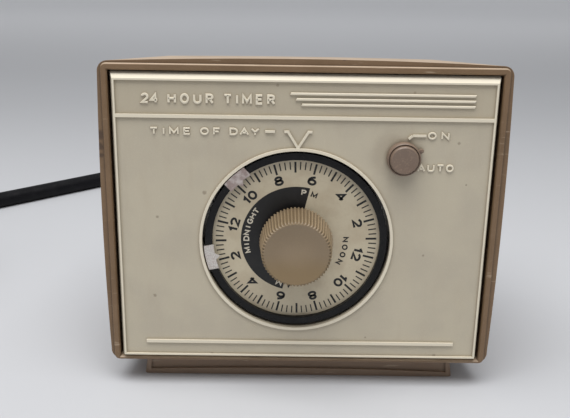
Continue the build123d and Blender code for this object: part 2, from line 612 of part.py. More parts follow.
def tripper(degrees):
    """A spring clip that grips the dial's rim, with a pointer in front and a tail behind."""
    tip = polar(DIAL_X, DIAL_Z, CLIP_PLATE_IN_R - 1.4, degrees)
    root = polar(DIAL_X, DIAL_Z, CLIP_PLATE_IN_R + 0.4, degrees)
    across = (-math.sin(math.radians(degrees)) * 1.3, math.cos(math.radians(degrees)) * 1.3)
    with BuildSketch(facing(CLIP_PLATE_BACK_Y)) as pointer:
        with BuildLine():
            Polyline(tip, (root[0] + across[0], root[1] + across[1]),
                     (root[0] - across[0], root[1] - across[1]), close=True)
        make_face()
    with BuildPart() as clip:
        extrude(sector_face(CLIP_PLATE_IN_R, CLIP_LEG_OUT_R, TRIPPER_W, degrees,
                            CLIP_PLATE_BACK_Y), amount=CLIP_PLATE_BACK_Y - CLIP_FRONT_Y)
        extrude(pointer.sketch, amount=CLIP_PLATE_BACK_Y - CLIP_FRONT_Y)
        extrude(sector_face(CLIP_LEG_IN_R, CLIP_LEG_OUT_R, TRIPPER_W, degrees, CLIP_BACK_Y),
                amount=CLIP_BACK_Y - CLIP_FRONT_Y)
        extrude(sector_face(CLIP_PLATE_IN_R + 0.8, CLIP_LEG_OUT_R, TRIPPER_W, degrees,
                            CLIP_BACK_Y), amount=CLIP_BACK_Y - CLIP_JAW_Y)
        extrude(sector_face(CLIP_LEG_IN_R, CLIP_TAIL_R, 0.4 * TRIPPER_W, degrees,
                            CLIP_BACK_Y), amount=CLIP_BACK_Y - CLIP_JAW_Y)
    return clip.part


save(tripper(ON_TRIPPER), "on_tripper")
save(tripper(OFF_TRIPPER), "off_tripper")

# ---------------------------------------------------------------- reduction gears
IDLER_WHEEL_Y = -9.2
IDLER_ARBOR_R = 1.5

with BuildPart() as idler_arbor:
    add(rod(IDLER_X, IDLER_Z, PIVOT_R, FRONT_PLATE_Y - 0.2, PLATE_GAP_Y + 0.3))
    add(rod(IDLER_X, IDLER_Z, IDLER_ARBOR_R, PLATE_GAP_Y + 0.3, REAR_PLATE_Y - 0.3))
    add(rod(IDLER_X, IDLER_Z, PIVOT_R, REAR_PLATE_Y - 0.3, PLATE_REAR_Y + 0.2))
save(idler_arbor.part, "idler_arbor")

with BuildPart() as idler_pinion:
    extrude(gear_face(IDLER_X, IDLER_Z, IDLER_PINION_TEETH, COARSE_MODULE,
                      IDLER_BEARING + 180 + 180 / IDLER_PINION_TEETH, IDLER_ARBOR_R, -11.4),
            amount=3.6)
save(idler_pinion.part, "idler_pinion")

with BuildPart() as idler_wheel:
    extrude(gear_face(IDLER_X, IDLER_Z, IDLER_TEETH, FINE_MODULE, MOTOR_BEARING,
                      IDLER_ARBOR_R, IDLER_WHEEL_Y), amount=1.2)
    with BuildSketch(facing(IDLER_WHEEL_Y)) as windows:
        with Locations((IDLER_X, IDLER_Z)):
            with PolarLocations(9.0, 4):
                Circle(3.2)
    extrude(windows.sketch, amount=1.2, mode=Mode.SUBTRACT)
save(idler_wheel.part, "idler_wheel")

MOTOR_SHAFT_R = 1.0
with BuildPart() as motor_pinion:
    extrude(gear_face(MOTOR_X, MOTOR_Z, MOTOR_TEETH, FINE_MODULE,
                      MOTOR_BEARING + 180 + 180 / MOTOR_TEETH, MOTOR_SHAFT_R, -8.7),
            amount=2.2)
save(motor_pinion.part, "motor_pinion")
save(rod(MOTOR_X, MOTOR_Z, MOTOR_SHAFT_R, -11.2, 2.0), "motor_shaft")

# ---------------------------------------------------------------- motor
CAN_R = 12.5
CAN_END_Y = 14.0
STATOR_NEAR_Y = 4.0
STATOR_FAR_Y = 12.0
STATOR_HALF_W = 24.0
STATOR_LOW = 12.4
STATOR_HIGH = 66.0
COIL_BAR_LOW = 56.0
WINDOW_HALF_W = 14.4
WINDOW_LOW = 44.0
COIL_Z = (COIL_BAR_LOW + STATOR_HIGH) / 2
COIL_Y = (STATOR_NEAR_Y + STATOR_FAR_Y) / 2
COIL_HALF_H = 12.2
COIL_HALF_D = 10.2
BOBBIN_HALF_L = 13.7
CHEEK_T = 1.2

with BuildPart() as motor_gearcase:
    add(rod(MOTOR_X, MOTOR_Z, CAN_R, PLATE_REAR_Y, CAN_END_Y))
    add(rod(MOTOR_X, MOTOR_Z, NOSE_R, REAR_PLATE_Y - 1.0, PLATE_REAR_Y))
    fillet(motor_gearcase.faces().sort_by(Axis.Y)[-1].edges(), 1.2)
    extrude(discs([(MOTOR_X, MOTOR_Z)], MOTOR_SHAFT_R + RUNNING, 2.2), amount=9,
            mode=Mode.SUBTRACT)
save(motor_gearcase.part, "motor_gearcase")

with BuildPart() as stator_core:
    extrude(rectangle_face(MOTOR_X - STATOR_HALF_W, MOTOR_X + STATOR_HALF_W, STATOR_LOW,
                           STATOR_HIGH, STATOR_FAR_Y, 1.5),
            amount=STATOR_FAR_Y - STATOR_NEAR_Y)
    extrude(rectangle_face(MOTOR_X - WINDOW_HALF_W, MOTOR_X + WINDOW_HALF_W, WINDOW_LOW,
                           COIL_BAR_LOW, STATOR_FAR_Y),
            amount=STATOR_FAR_Y - STATOR_NEAR_Y, mode=Mode.SUBTRACT)
    extrude(discs([(MOTOR_X, MOTOR_Z)], CAN_R + 0.1, STATOR_FAR_Y),
            amount=STATOR_FAR_Y - STATOR_NEAR_Y, mode=Mode.SUBTRACT)
    extrude(discs(MOTOR_SCREWS, SCREW_HOLE_R, STATOR_FAR_Y),
            amount=STATOR_FAR_Y - STATOR_NEAR_Y, mode=Mode.SUBTRACT)
save(stator_core.part, "stator_core")


def coil_tube(left, right, half_depth, half_height, corner):
    """A block round the coil's bar, bored to fit the bar."""
    with BuildPart() as tube:
        with BuildSketch(Plane.YZ.offset(left)):
            with Locations((COIL_Y, COIL_Z)):
                RectangleRounded(2 * half_depth, 2 * half_height, corner)
                Rectangle(STATOR_FAR_Y - STATOR_NEAR_Y + 0.1, STATOR_HIGH - COIL_BAR_LOW + 0.1,
                          mode=Mode.SUBTRACT)
        extrude(amount=right - left)
    return tube.part


with BuildPart() as coil_bobbin:
    add(coil_tube(MOTOR_X - BOBBIN_HALF_L, MOTOR_X + BOBBIN_HALF_L, 5.2, 6.2, 0.8))
    add(coil_tube(MOTOR_X - BOBBIN_HALF_L, MOTOR_X - BOBBIN_HALF_L + CHEEK_T, COIL_HALF_D,
                  COIL_HALF_H, 2.0))
    add(coil_tube(MOTOR_X + BOBBIN_HALF_L - CHEEK_T, MOTOR_X + BOBBIN_HALF_L, COIL_HALF_D,
                  COIL_HALF_H, 2.0))
save(coil_bobbin.part, "coil_bobbin")

with BuildPart() as coil_winding:
    with BuildSketch(Plane.YZ.offset(MOTOR_X - BOBBIN_HALF_L + CHEEK_T)):
        with Locations((COIL_Y, COIL_Z)):
            RectangleRounded(2 * COIL_HALF_D - 1.2, 2 * COIL_HALF_H - 1.2, 3.0)
            RectangleRounded(10.4, 12.4, 0.8, mode=Mode.SUBTRACT)
    extrude(amount=2 * (BOBBIN_HALF_L - CHEEK_T))
save(coil_winding.part, "coil_winding")

with BuildPart() as motor_spacers:
    extrude(discs(MOTOR_SCREWS, 3.0, STATOR_NEAR_Y), amount=STATOR_NEAR_Y - PLATE_REAR_Y)
    extrude(discs(MOTOR_SCREWS, SCREW_HOLE_R, STATOR_NEAR_Y), amount=20, mode=Mode.SUBTRACT)
save(motor_spacers.part, "motor_spacers")
save(screws(MOTOR_SCREWS, 2.4, 1.6, STATOR_FAR_Y - REAR_PLATE_Y, STATOR_FAR_Y), "motor_screws")

# ---------------------------------------------------------------- mode knob
MODE_FACE_Y = -32.8
MODE_BOSS_Y = -33.8
MODE_SKIRT_R = 4.8
MODE_BOSS_R = 4.1
MODE_GAP = 0.15
MODE_BORE_Y = -31.9

with BuildPart() as mode_boss:
    add(rod(MODE_X, MODE_Z, MODE_BOSS_R, MODE_BOSS_Y, MODE_FACE_Y + 0.5))
    chamfer(mode_boss.faces().sort_by(Axis.Y)[0].edges(), 0.35)

with BuildPart() as mode_knob:
    add(rod(MODE_X, MODE_Z, MODE_SKIRT_R, MODE_FACE_Y, FIELD_Y - MODE_GAP))
    chamfer(mode_knob.faces().sort_by(Axis.Y)[0].edges(), 0.3)
    add(mode_boss.part)
    # the pointer stands clear of the panel's raised lines
    with BuildSketch(facing(LIP_Y - MODE_GAP)) as nub:
        with Locations(polar(MODE_X, MODE_Z, 4.9, MODE_REST)):
            SlotOverall(2.4, 1.3, rotation=MODE_REST)
    extrude(nub.sketch, amount=0.9)
    extrude(discs([(MODE_X, MODE_Z)], ARBOR_R, FIELD_Y - MODE_GAP),
            amount=FIELD_Y - MODE_GAP - MODE_BORE_Y, mode=Mode.SUBTRACT)
save(mode_knob.part, "mode_knob")

save(rod(MODE_X, MODE_Z, ARBOR_R, MODE_BORE_Y, -14.2), "mode_shaft")
save(collar(MODE_X, MODE_Z, 3.8, ARBOR_R, MODE_BUSH_END_Y + 0.3, MODE_BUSH_END_Y + 0.9),
     "mode_clip")

CAM_BACK_Y = -15.4
CAM_T = 2.4
LOBE_BEARING = MODE_REST - 85.0
with BuildPart() as mode_cam:
    with BuildSketch(facing(CAM_BACK_Y)) as cam_outline:
        with Locations((MODE_X, MODE_Z)):
            Circle(3.4)
        with Locations(polar(MODE_X, MODE_Z, 3.7, LOBE_BEARING)):
            Circle(1.7)
        make_hull()
        with Locations((MODE_X, MODE_Z)):
            Circle(ARBOR_R, mode=Mode.SUBTRACT)
    extrude(cam_outline.sketch, amount=CAM_T)
save(mode_cam.part, "mode_cam")

SPRING_TOP_Z = MODE_Z - 5.8
with BuildPart() as detent_spring:
    add(box(18.0, 36.5, CAM_BACK_Y - CAM_T, CAM_BACK_Y, SPRING_TOP_Z - 0.5, SPRING_TOP_Z))
    add(box(18.0, 24.0, PLATE_GAP_Y, PLATE_GAP_Y + 0.5, SPRING_TOP_Z - 5, SPRING_TOP_Z))
    add(box(18.0, 24.0, PLATE_GAP_Y, CAM_BACK_Y, SPRING_TOP_Z - 0.5, SPRING_TOP_Z))
save(detent_spring.part, "detent_spring")

# ---------------------------------------------------------------- switch
SWITCH_BASE_Y = -10.8
LEVER_TIP_BEARING = 84.0
LEVER_TIP_R = 31.0
CONTACT_X = 38.0
CONTACT_Y = -15.2
ARM_LOW = LEVER_Z - 0.4
MOVING_FACE_Z = ARM_LOW - 1.0
FIXED_FACE_Z = 79.1

with BuildPart() as trip_lever:
    with BuildSketch(facing(-25.2)) as lever_outline:
        with Locations((LEVER_X, LEVER_Z)):
            Circle(3.2)
        with Locations(polar(DIAL_X, DIAL_Z, LEVER_TIP_R, LEVER_TIP_BEARING)):
            Circle(1.1)
        make_hull()
        with Locations((LEVER_X, LEVER_Z)):
            Circle(SPINDLE_R, mode=Mode.SUBTRACT)
    extrude(lever_outline.sketch, amount=1.2)
save(trip_lever.part, "trip_lever")
save(rod(LEVER_X, LEVER_Z, SPINDLE_R, -27.0, -9.0), "switch_spindle")

with BuildPart() as moving_contact:
    add(collar(LEVER_X, LEVER_Z, 3.0, SPINDLE_R, CONTACT_Y - 2.2, CONTACT_Y + 2.2))
    add(box(LEVER_X + 2.0, CONTACT_X + 2.4, CONTACT_Y - 1.7, CONTACT_Y + 1.7, ARM_LOW,
            LEVER_Z + 0.4))
    with Locations((CONTACT_X, CONTACT_Y, (ARM_LOW + MOVING_FACE_Z) / 2)):
        Cylinder(1.4, ARM_LOW - MOVING_FACE_Z)
save(moving_contact.part, "moving_contact")

with BuildPart() as switch_base:
    extrude(rectangle_face(7.0, 45.0, 70.0, 93.0, SWITCH_BASE_Y + 2.0, 1.5), amount=2.0)
    extrude(discs([(LEVER_X, LEVER_Z)], SPINDLE_R + RUNNING, SWITCH_BASE_Y + 2.0), amount=2.0,
            mode=Mode.SUBTRACT)
save(switch_base.part, "switch_base")

with BuildPart() as fixed_contact:
    add(box(CONTACT_X - 3, CONTACT_X + 3, SWITCH_BASE_Y - 0.6, SWITCH_BASE_Y, 71.5,
            FIXED_FACE_Z - 1.2))
    add(box(CONTACT_X - 3, CONTACT_X + 3, CONTACT_Y - 1.8, SWITCH_BASE_Y, FIXED_FACE_Z - 1.8,
            FIXED_FACE_Z - 1.2))
    with Locations((CONTACT_X, CONTACT_Y, FIXED_FACE_Z - 0.6)):
        Cylinder(1.4, 1.2)
save(fixed_contact.part, "fixed_contact")

with BuildPart() as switch_spacers:
    extrude(discs(SWITCH_SPACERS, 2.0, SWITCH_BASE_Y), amount=SWITCH_BASE_Y - PLATE_GAP_Y)
save(switch_spacers.part, "switch_spacers")

# ---------------------------------------------------------------- leads inside the case
LEAD_R = 1.0
RELIEF_INNER_Y = 35.0


def lead(bend_r, *points):
    """An insulated lead of straight runs joined by tangent arcs."""
    with BuildPart() as tube:
        with BuildLine() as route:
            FilletPolyline(*points, radius=bend_r)
        with BuildSketch(Plane(route.line @ 0, z_dir=route.line % 0)):
            Circle(LEAD_R)
        sweep(path=route.line)
    return tube.part


CONTACT_LEFT_X = RECEPTACLE_X - BLADE_SPACING / 2 - POCKET_W / 2 + CONTACT_T / 2
CONTACT_RIGHT_X = RECEPTACLE_X + BLADE_SPACING / 2 + POCKET_W / 2 - CONTACT_T / 2
leads = [
    lead(5.0, (CORD_X + 2.4, RELIEF_INNER_Y, CORD_Z), (CORD_X + 2.4, 27, CORD_Z),
         (43.5, 20, 30), (43.5, 6, 66), (41.5, SWITCH_BASE_Y + 10, 84),
         (41.5, SWITCH_BASE_Y + 2, 84)),
    lead(4.0, (CORD_X - 2.4, RELIEF_INNER_Y, CORD_Z), (CORD_X - 2.4, 25, CORD_Z),
         (-8, 22, 20), (-34, 18, 34), (CONTACT_LEFT_X, 9, 44), (CONTACT_LEFT_X, 9, 58),
         (CONTACT_LEFT_X, TAB_END_Y, 58)),
    lead(3.0, (CONTACT_RIGHT_X, TAB_END_Y, 58), (CONTACT_RIGHT_X, 13.4, 58),
         (CONTACT_RIGHT_X, 13.4, 74), (-8, 10, 82), (26, 0, 84),
         (34, SWITCH_BASE_Y + 9, 86), (34, SWITCH_BASE_Y + 2, 86)),
    lead(3.5, (MOTOR_X + BOBBIN_HALF_L, COIL_Y + 2, COIL_Z + 9),
         (MOTOR_X + BOBBIN_HALF_L + 10, COIL_Y + 2, COIL_Z + 9), (30, 2, 77),
         (30, SWITCH_BASE_Y + 2, 77)),
]
with BuildPart() as internal_leads:
    for tube in leads:
        add(tube)
save(internal_leads.part, "internal_leads")

# ---------------------------------------------------------------- supply cord
RELIEF_LENGTH = 27.9
RELIEF_TIP_Y = BACK_Y + RELIEF_LENGTH
COIL_CENTRE = (-181.0, 43.5)
COIL_START_R = 52.0
COIL_PITCH = 2 * CORD_R
COIL_LAYER_TURNS = 2.4
CORD_HEADING = 222.5       # direction in which the cord runs into its coil, degrees

with BuildPart() as strain_relief:
    add(rod(CORD_X, CORD_Z, EXIT_R - 0.1, RELIEF_INNER_Y, BACK_Y))
    add(rod(CORD_X, CORD_Z, 7.6, RELIEF_INNER_Y, COVER_SEAT_Y))
    add(rod(CORD_X, CORD_Z, 7.2, BACK_Y, BACK_Y + 2.0))
    tail_root = discs([(CORD_X, CORD_Z)], 6.4, BACK_Y + 2.0)
    tail_tip = discs([(CORD_X, CORD_Z)], CORD_R + 0.9, RELIEF_TIP_Y)
    loft([tail_root, tail_tip])
save(strain_relief.part, "strain_relief")

coil_entry = (COIL_CENTRE[0] + COIL_START_R * math.cos(math.radians(CORD_HEADING - 90)),
              COIL_CENTRE[1] + COIL_START_R * math.sin(math.radians(CORD_HEADING - 90)))
CORD_ROUTE = [
    (CORD_X, RELIEF_TIP_Y, CORD_Z),
    (18.1, 90.0, 17.9),
    (18.6, 113.0, 10.4),
    (15.0, 140.0, 3.75),
    (2.0, 170.0, 3.75),
    (-21.0, 195.0, 3.75),
    (-52.0, 208.0, 3.75),
    (-83.0, 200.0, 3.75),
    (-108.0, 177.0, 3.75),
    (-131.5, 155.6, 3.75),
    (-158.0, 131.6, 3.75),
    (-186.0, 104.8, 3.75),
    (coil_entry[0], coil_entry[1], CORD_R),
]
TAIL_X = COIL_CENTRE[0] - COIL_START_R
TAIL_ROUTE = [
    (TAIL_X, COIL_CENTRE[1], 3 * CORD_R),
    (TAIL_X - 1.2, COIL_CENTRE[1] - 13.0, 3 * CORD_R - 0.1),
    (TAIL_X - 3.2, COIL_CENTRE[1] - 26.0, 9.8),
    (TAIL_X - 3.4, COIL_CENTRE[1] - 39.0, 9.6),
]


def bend_radii(points):
    """The largest arc that each corner's two runs allow."""
    corners = [Vector(*point) for point in points]
    radii = []
    for before, here, after in zip(corners, corners[1:], corners[2:]):
        half_turn = math.radians((here - before).get_angle(after - here)) / 2
        shorter = min((here - before).length, (after - here).length)
        radii.append(0.45 * shorter / math.tan(half_turn))
    return radii


def cord_tube(points, radii):
    """A round cord along straight runs joined by tangent arcs, and its centre line's length."""
    with BuildPart() as tube:
        with BuildLine() as route:
            FilletPolyline(*points, radius=radii)
        with BuildSketch(Plane(route.line @ 0, z_dir=route.line % 0)):
            Circle(CORD_R)
        sweep(path=route.line)
    return tube.part, route.wire().length


route_radii = bend_radii(CORD_ROUTE)
power_cord, power_cord_length = cord_tube(CORD_ROUTE, route_radii)
save(power_cord, "power_cord")
tail_radii = bend_radii(TAIL_ROUTE)
cord_tail, tail_length = cord_tube(TAIL_ROUTE, tail_radii)
save(cord_tail, "cord_tail")

COIL_MARGIN = 0.3
coil_outer_r = COIL_START_R + CORD_R + COIL_MARGIN
coil_inner_r = COIL_START_R - COIL_PITCH * COIL_LAYER_TURNS - CORD_R - COIL_MARGIN
with BuildPart() as cord_coil:
    with BuildSketch(Plane.XY):
        with Locations(COIL_CENTRE):
            Circle(coil_outer_r)
            Circle(coil_inner_r, mode=Mode.SUBTRACT)
    extrude(amount=4 * CORD_R + 0.2)
    fillet(cord_coil.edges().filter_by(GeomType.CIRCLE).group_by(Axis.Z)[-1], 2.5)
save(cord_coil.part, "cord_coil")

# ---------------------------------------------------------------- plug
PLUG_X = TAIL_ROUTE[-1][0]
PLUG_REAR_Y = TAIL_ROUTE[-1][1]
PLUG_Z = 9.6
SLEEVE_LENGTH = 15.0
PLUG_LENGTH = 27.0
PLUG_W = 25.0
PLUG_T = 18.0
BLADE_LENGTH = 16.5
PLUG_FACE_Y = PLUG_REAR_Y - SLEEVE_LENGTH - PLUG_LENGTH

with BuildPart() as plug_body:
    loft([discs([(PLUG_X, PLUG_Z)], CORD_R + 0.8, PLUG_REAR_Y),
          discs([(PLUG_X, PLUG_Z)], CORD_R + 2.2, PLUG_REAR_Y - SLEEVE_LENGTH)])
    shoulder = rectangle_face(PLUG_X - 8.0, PLUG_X + 8.0, PLUG_Z - 7.0, PLUG_Z + 7.0,
                              PLUG_REAR_Y - SLEEVE_LENGTH, 5.0)
    nose = rectangle_face(PLUG_X - PLUG_W / 2, PLUG_X + PLUG_W / 2, PLUG_Z - PLUG_T / 2,
                          PLUG_Z + PLUG_T / 2, PLUG_FACE_Y, 5.0)
    loft([shoulder, nose])
save(plug_body.part, "plug_body")

with BuildPart() as plug_blades:
    for side in (-1, 1):
        middle = PLUG_X + side * BLADE_SPACING / 2
        add(box(middle - 0.75, middle + 0.75, PLUG_FACE_Y - BLADE_LENGTH, PLUG_FACE_Y,
                PLUG_Z - 3.2, PLUG_Z + 3.2))
    chamfer(plug_blades.faces().group_by(Axis.Y)[0].edges(), 0.5)
    for side in (-1, 1):
        with Locations(Location((PLUG_X + side * BLADE_SPACING / 2, PLUG_FACE_Y - 12.0, PLUG_Z),
                                (0, 90, 0))):
            Cylinder(1.6, 4, mode=Mode.SUBTRACT)
save(plug_blades.part, "plug_blades")

coil_turns = 2 * COIL_LAYER_TURNS + 0.332
coil_length = coil_turns * 2 * math.pi * (COIL_START_R - COIL_PITCH * COIL_LAYER_TURNS / 2)
tube_volume = power_cord.volume
print("bend radii", [round(radius) for radius in route_radii + tail_radii])
print("tube volume over section times length",
      round(tube_volume / (math.pi * CORD_R ** 2 * power_cord_length), 4))
print("cord length mm", round(power_cord_length), "+", round(coil_length), "+",
      round(tail_length))
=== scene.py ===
import json
import math

import bmesh
import bpy
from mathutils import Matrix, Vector


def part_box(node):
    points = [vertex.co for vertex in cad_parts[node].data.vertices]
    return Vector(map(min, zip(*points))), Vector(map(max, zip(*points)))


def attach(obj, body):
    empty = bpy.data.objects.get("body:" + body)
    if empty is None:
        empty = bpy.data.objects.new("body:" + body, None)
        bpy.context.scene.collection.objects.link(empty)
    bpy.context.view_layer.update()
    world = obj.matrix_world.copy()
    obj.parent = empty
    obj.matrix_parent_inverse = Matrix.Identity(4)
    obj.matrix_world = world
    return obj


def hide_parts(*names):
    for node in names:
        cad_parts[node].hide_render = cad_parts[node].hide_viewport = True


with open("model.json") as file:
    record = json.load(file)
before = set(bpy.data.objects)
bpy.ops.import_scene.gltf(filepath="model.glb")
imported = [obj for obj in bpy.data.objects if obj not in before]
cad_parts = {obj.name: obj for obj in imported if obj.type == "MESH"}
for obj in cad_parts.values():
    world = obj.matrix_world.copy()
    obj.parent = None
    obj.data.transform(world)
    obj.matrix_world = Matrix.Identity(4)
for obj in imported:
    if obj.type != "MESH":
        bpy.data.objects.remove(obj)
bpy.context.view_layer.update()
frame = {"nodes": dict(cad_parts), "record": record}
nodes = frame["nodes"]

MM = 0.001


# ------------------------------------------------------------------ places read from the frame
def middle(node):
    """The centre of a CAD node's box."""
    low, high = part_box(node)
    return (low + high) / 2


disc_low, disc_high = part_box("dial_disc")
DIAL_X = (disc_low.x + disc_high.x) / 2
DIAL_Z = (disc_low.z + disc_high.z) / 2
DISC_Y = disc_low.y
MODE_X = middle("mode_shaft").x
MODE_Z = middle("mode_shaft").z
LIP_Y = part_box("front_panel")[0].y
FIELD_Y = LIP_Y + 0.6 * MM
LIP_TOP_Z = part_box("front_panel")[1].z


# ------------------------------------------------------------------ camera
CAMERA_PLACE = (-0.00686, -0.26524, 0.13602)
CAMERA_TURN = (71.640, -0.877, -0.106)       # degrees about X, Y and Z
CAMERA_LENS = 53.7

camera = bpy.data.objects.new("camera", bpy.data.cameras.new("camera"))
camera.data.lens = CAMERA_LENS
camera.data.clip_start = 0.01
camera.location = CAMERA_PLACE
camera.rotation_euler = [math.radians(turn) for turn in CAMERA_TURN]
bpy.context.scene.collection.objects.link(camera)
bpy.context.scene.camera = camera
bpy.context.scene.view_settings.view_transform = "Standard"


# ------------------------------------------------------------------ materials
def srgb(red, green, blue):
    """A colour from 0 to 255 sRGB values, as the linear RGBA that shaders take."""
    linear = [((v / 255 + 0.055) / 1.055) ** 2.4 if v > 10 else v / 3295
              for v in (red, green, blue)]
    return (*linear, 1.0)


class Look:
    """A node material: one Principled shader fed by textures in the piece's own coordinates."""

    def __init__(self, name, colour, roughness, metallic=0.0, **settings):
        self.material = bpy.data.materials.new(name)
        self.material.use_nodes = True
        self.nodes = self.material.node_tree.nodes
        self.links = self.material.node_tree.links
        self.shader = self.nodes["Principled BSDF"]
        self.place = self.nodes.new("ShaderNodeTexCoord").outputs["Object"]
        self.colour = colour
        self.shader.inputs["Roughness"].default_value = roughness
        self.shader.inputs["Metallic"].default_value = metallic
        for socket, value in settings.items():
            self.shader.inputs[socket.replace("_", " ")].default_value = value

    def node(self, kind, inputs=(), **settings):
        """A node with its settings made and its inputs linked or set."""
        made = self.nodes.new(kind)
        for name, value in settings.items():
            setattr(made, name, value)
        for socket, value in dict(inputs).items():
            if isinstance(value, bpy.types.NodeSocket):
                self.links.new(value, made.inputs[socket])
            else:
                made.inputs[socket].default_value = value
        return made

    def noise(self, size, detail=2.0, rough=0.5, stretch=(1, 1, 1), offset=0.0):
        """Cloudy noise with features about size metres wide, squeezed by stretch on each axis."""
        place = self.node("ShaderNodeMapping", {"Vector": self.place, "Scale": stretch,
                                                "Location": (offset, offset, offset)})
        return self.node("ShaderNodeTexNoise", {"Vector": place.outputs[0], "Scale": 1 / size,
                                                "Detail": detail,
                                                "Roughness": rough}).outputs["Fac"]

    def range(self, value, low, high, out_low=0.0, out_high=1.0):
        """The value mapped smoothly from low and high to out_low and out_high."""
        return self.node("ShaderNodeMapRange", {"Value": value, "From Min": low, "From Max": high,
                                                "To Min": out_low, "To Max": out_high},
                         interpolation_type="SMOOTHSTEP").outputs["Result"]

    def maths(self, operation, first, second):
        """Two values combined."""
        return self.node("ShaderNodeMath", {0: first, 1: second}, operation=operation).outputs[0]

    def axis(self, name):
        """The piece's own X, Y or Z at the shaded point."""
        return self.node("ShaderNodeSeparateXYZ", {0: self.place}).outputs[name]

    def facing_up(self):
        """1 on surfaces that face up and 0 on level-facing or downward ones."""
        normal = self.node("ShaderNodeNewGeometry").outputs["Normal"]
        height = self.node("ShaderNodeSeparateXYZ", {0: normal}).outputs["Z"]
        return self.range(height, 0.1, 0.9)

    def spot(self, centre, radius, ragged=0.35):
        """1 inside a ragged round mark at a point, fading to 0 outside it."""
        away = self.node("ShaderNodeVectorMath", {0: self.place, 1: centre},
                         operation="DISTANCE").outputs["Value"]
        edge = self.maths("MULTIPLY", self.noise(radius * 0.6, 3.0), 2 * ragged * radius)
        return self.range(self.maths("ADD", away, edge), radius * (1.15 + ragged),
                          radius * (0.5 + ragged))

    def crevices(self, reach, low=0.55, high=0.95):
        """1 deep in corners and recesses, 0 in the open."""
        open_share = self.node("ShaderNodeAmbientOcclusion", {"Distance": reach},
                               samples=6).outputs["AO"]
        return self.range(open_share, high, low)

    def edges(self, radius, low=0.03, high=0.25):
        """1 on sharp outer and inner edges, 0 on flat faces."""
        soft = self.node("ShaderNodeBevel", {"Radius": radius}, samples=4).outputs["Normal"]
        plain = self.node("ShaderNodeNewGeometry").outputs["Normal"]
        level = self.node("ShaderNodeVectorMath", {0: soft, 1: plain},
                          operation="DOT_PRODUCT").outputs["Value"]
        return self.range(level, 1 - low, 1 - high)

    def paint(self, share, colour):
        """Lay a colour over what is there, as strongly as share says."""
        mix = self.node("ShaderNodeMix", data_type="RGBA")
        for socket, value in ((mix.inputs[0], share), (mix.inputs[6], self.colour),
                              (mix.inputs[7], colour)):
            if isinstance(value, bpy.types.NodeSocket):
                self.links.new(value, socket)
            else:
                socket.default_value = value
        self.colour = mix.outputs[2]
        return self

    def rough(self, value, low, high):
        """Roughness that follows a value from low to high."""
        self.links.new(self.range(value, 0.25, 0.75, low, high), self.shader.inputs["Roughness"])
        return self

    def bump(self, height, depth, strength=1.0):
        """Raise the surface by a height map of a given depth in metres."""
        inputs = {"Height": height, "Distance": depth, "Strength": strength}
        if self.shader.inputs["Normal"].is_linked:
            inputs["Normal"] = self.shader.inputs["Normal"].links[0].from_socket
        bump = self.node("ShaderNodeBump", inputs)
        self.links.new(bump.outputs["Normal"], self.shader.inputs["Normal"])
        return self

    def soften(self, radius):
        """Round the shading of sharp edges, as a moulding's small corner radii do."""
        soft = self.node("ShaderNodeBevel", {"Radius": radius}, samples=6)
        self.links.new(soft.outputs["Normal"], self.shader.inputs["Normal"])
        return self

    def done(self):
        """Link the colour and give back the material."""
        if isinstance(self.colour, bpy.types.NodeSocket):
            self.links.new(self.colour, self.shader.inputs["Base Color"])
        else:
            self.shader.inputs["Base Color"].default_value = self.colour
        return self.material


def moulded(name, colour, cloud, worn, grime_and_shade, roughness, corner=0.15 * MM, dirt_and_shade=0.6):
    """Aged moulded plastic: clouded colour, fine grain, worn edges, and corners darkened by soiling
    and painted shade.

    The corner darkening of soiling and painted shade is as strong as the last argument says, and
    corner is the corners' small radius.
    """
    look = Look(name, colour, roughness).soften(corner)
    look.paint(look.range(look.noise(14 * MM, 4.0), 0.35, 0.7), cloud)
    specks = look.range(look.noise(0.5 * MM, 3.0), 0.52, 0.75)
    look.paint(look.maths("MULTIPLY", specks, 0.25), worn)
    look.paint(look.maths("MULTIPLY", look.edges(0.3 * MM), 0.35), worn)
    # soiling and painted shade: a darker colour in corners and recesses, found by ambient occlusion
    look.paint(look.maths("MULTIPLY", look.crevices(1.2 * MM), dirt_and_shade), grime_and_shade)
    look.rough(look.noise(3 * MM, 3.0), roughness - 0.08, roughness + 0.1)
    look.bump(look.noise(0.35 * MM, 2.0), 0.02 * MM)
    look.bump(look.noise(6 * MM, 2.0), 0.06 * MM)
    return look


def case_brown():
    look = moulded("case_brown", srgb(128, 102, 75), srgb(119, 94, 67), srgb(150, 124, 95),
                   srgb(50, 37, 26), 0.46)
    # painted top light with a little dust: what faces up is made paler in patches
    dust_and_top_light = look.range(look.noise(9 * MM, 4.0), 0.25, 0.6, 0.6, 0.95)
    look.paint(look.maths("MULTIPLY", look.facing_up(), dust_and_top_light), srgb(190, 168, 143))
    # scuffs on the left edge and a small chip on the top ridge
    for centre, radius in (((-58.6, -28.6, 79.0), 1.7), ((-58.4, -28.8, 75.6), 1.3),
                           ((-58.2, -28.9, 73.0), 0.9), ((10.6, -28.4, 101.6), 0.7)):
        place = tuple(v * MM for v in centre)
        look.paint(look.maths("MULTIPLY", look.spot(place, radius * MM), 0.75), srgb(72, 54, 44))
    pedestal = look.range(look.axis("Z"), 8.5 * MM, 7.5 * MM)
    look.paint(look.maths("MULTIPLY", pedestal, 0.5), srgb(156, 135, 118))
    scratch = look.noise(1.2 * MM, 2.0, stretch=(0.12, 1, 1), offset=3.0)
    look.paint(look.maths("MULTIPLY", look.range(scratch, 0.66, 0.74), 0.35), srgb(205, 186, 162))
    return look.done()


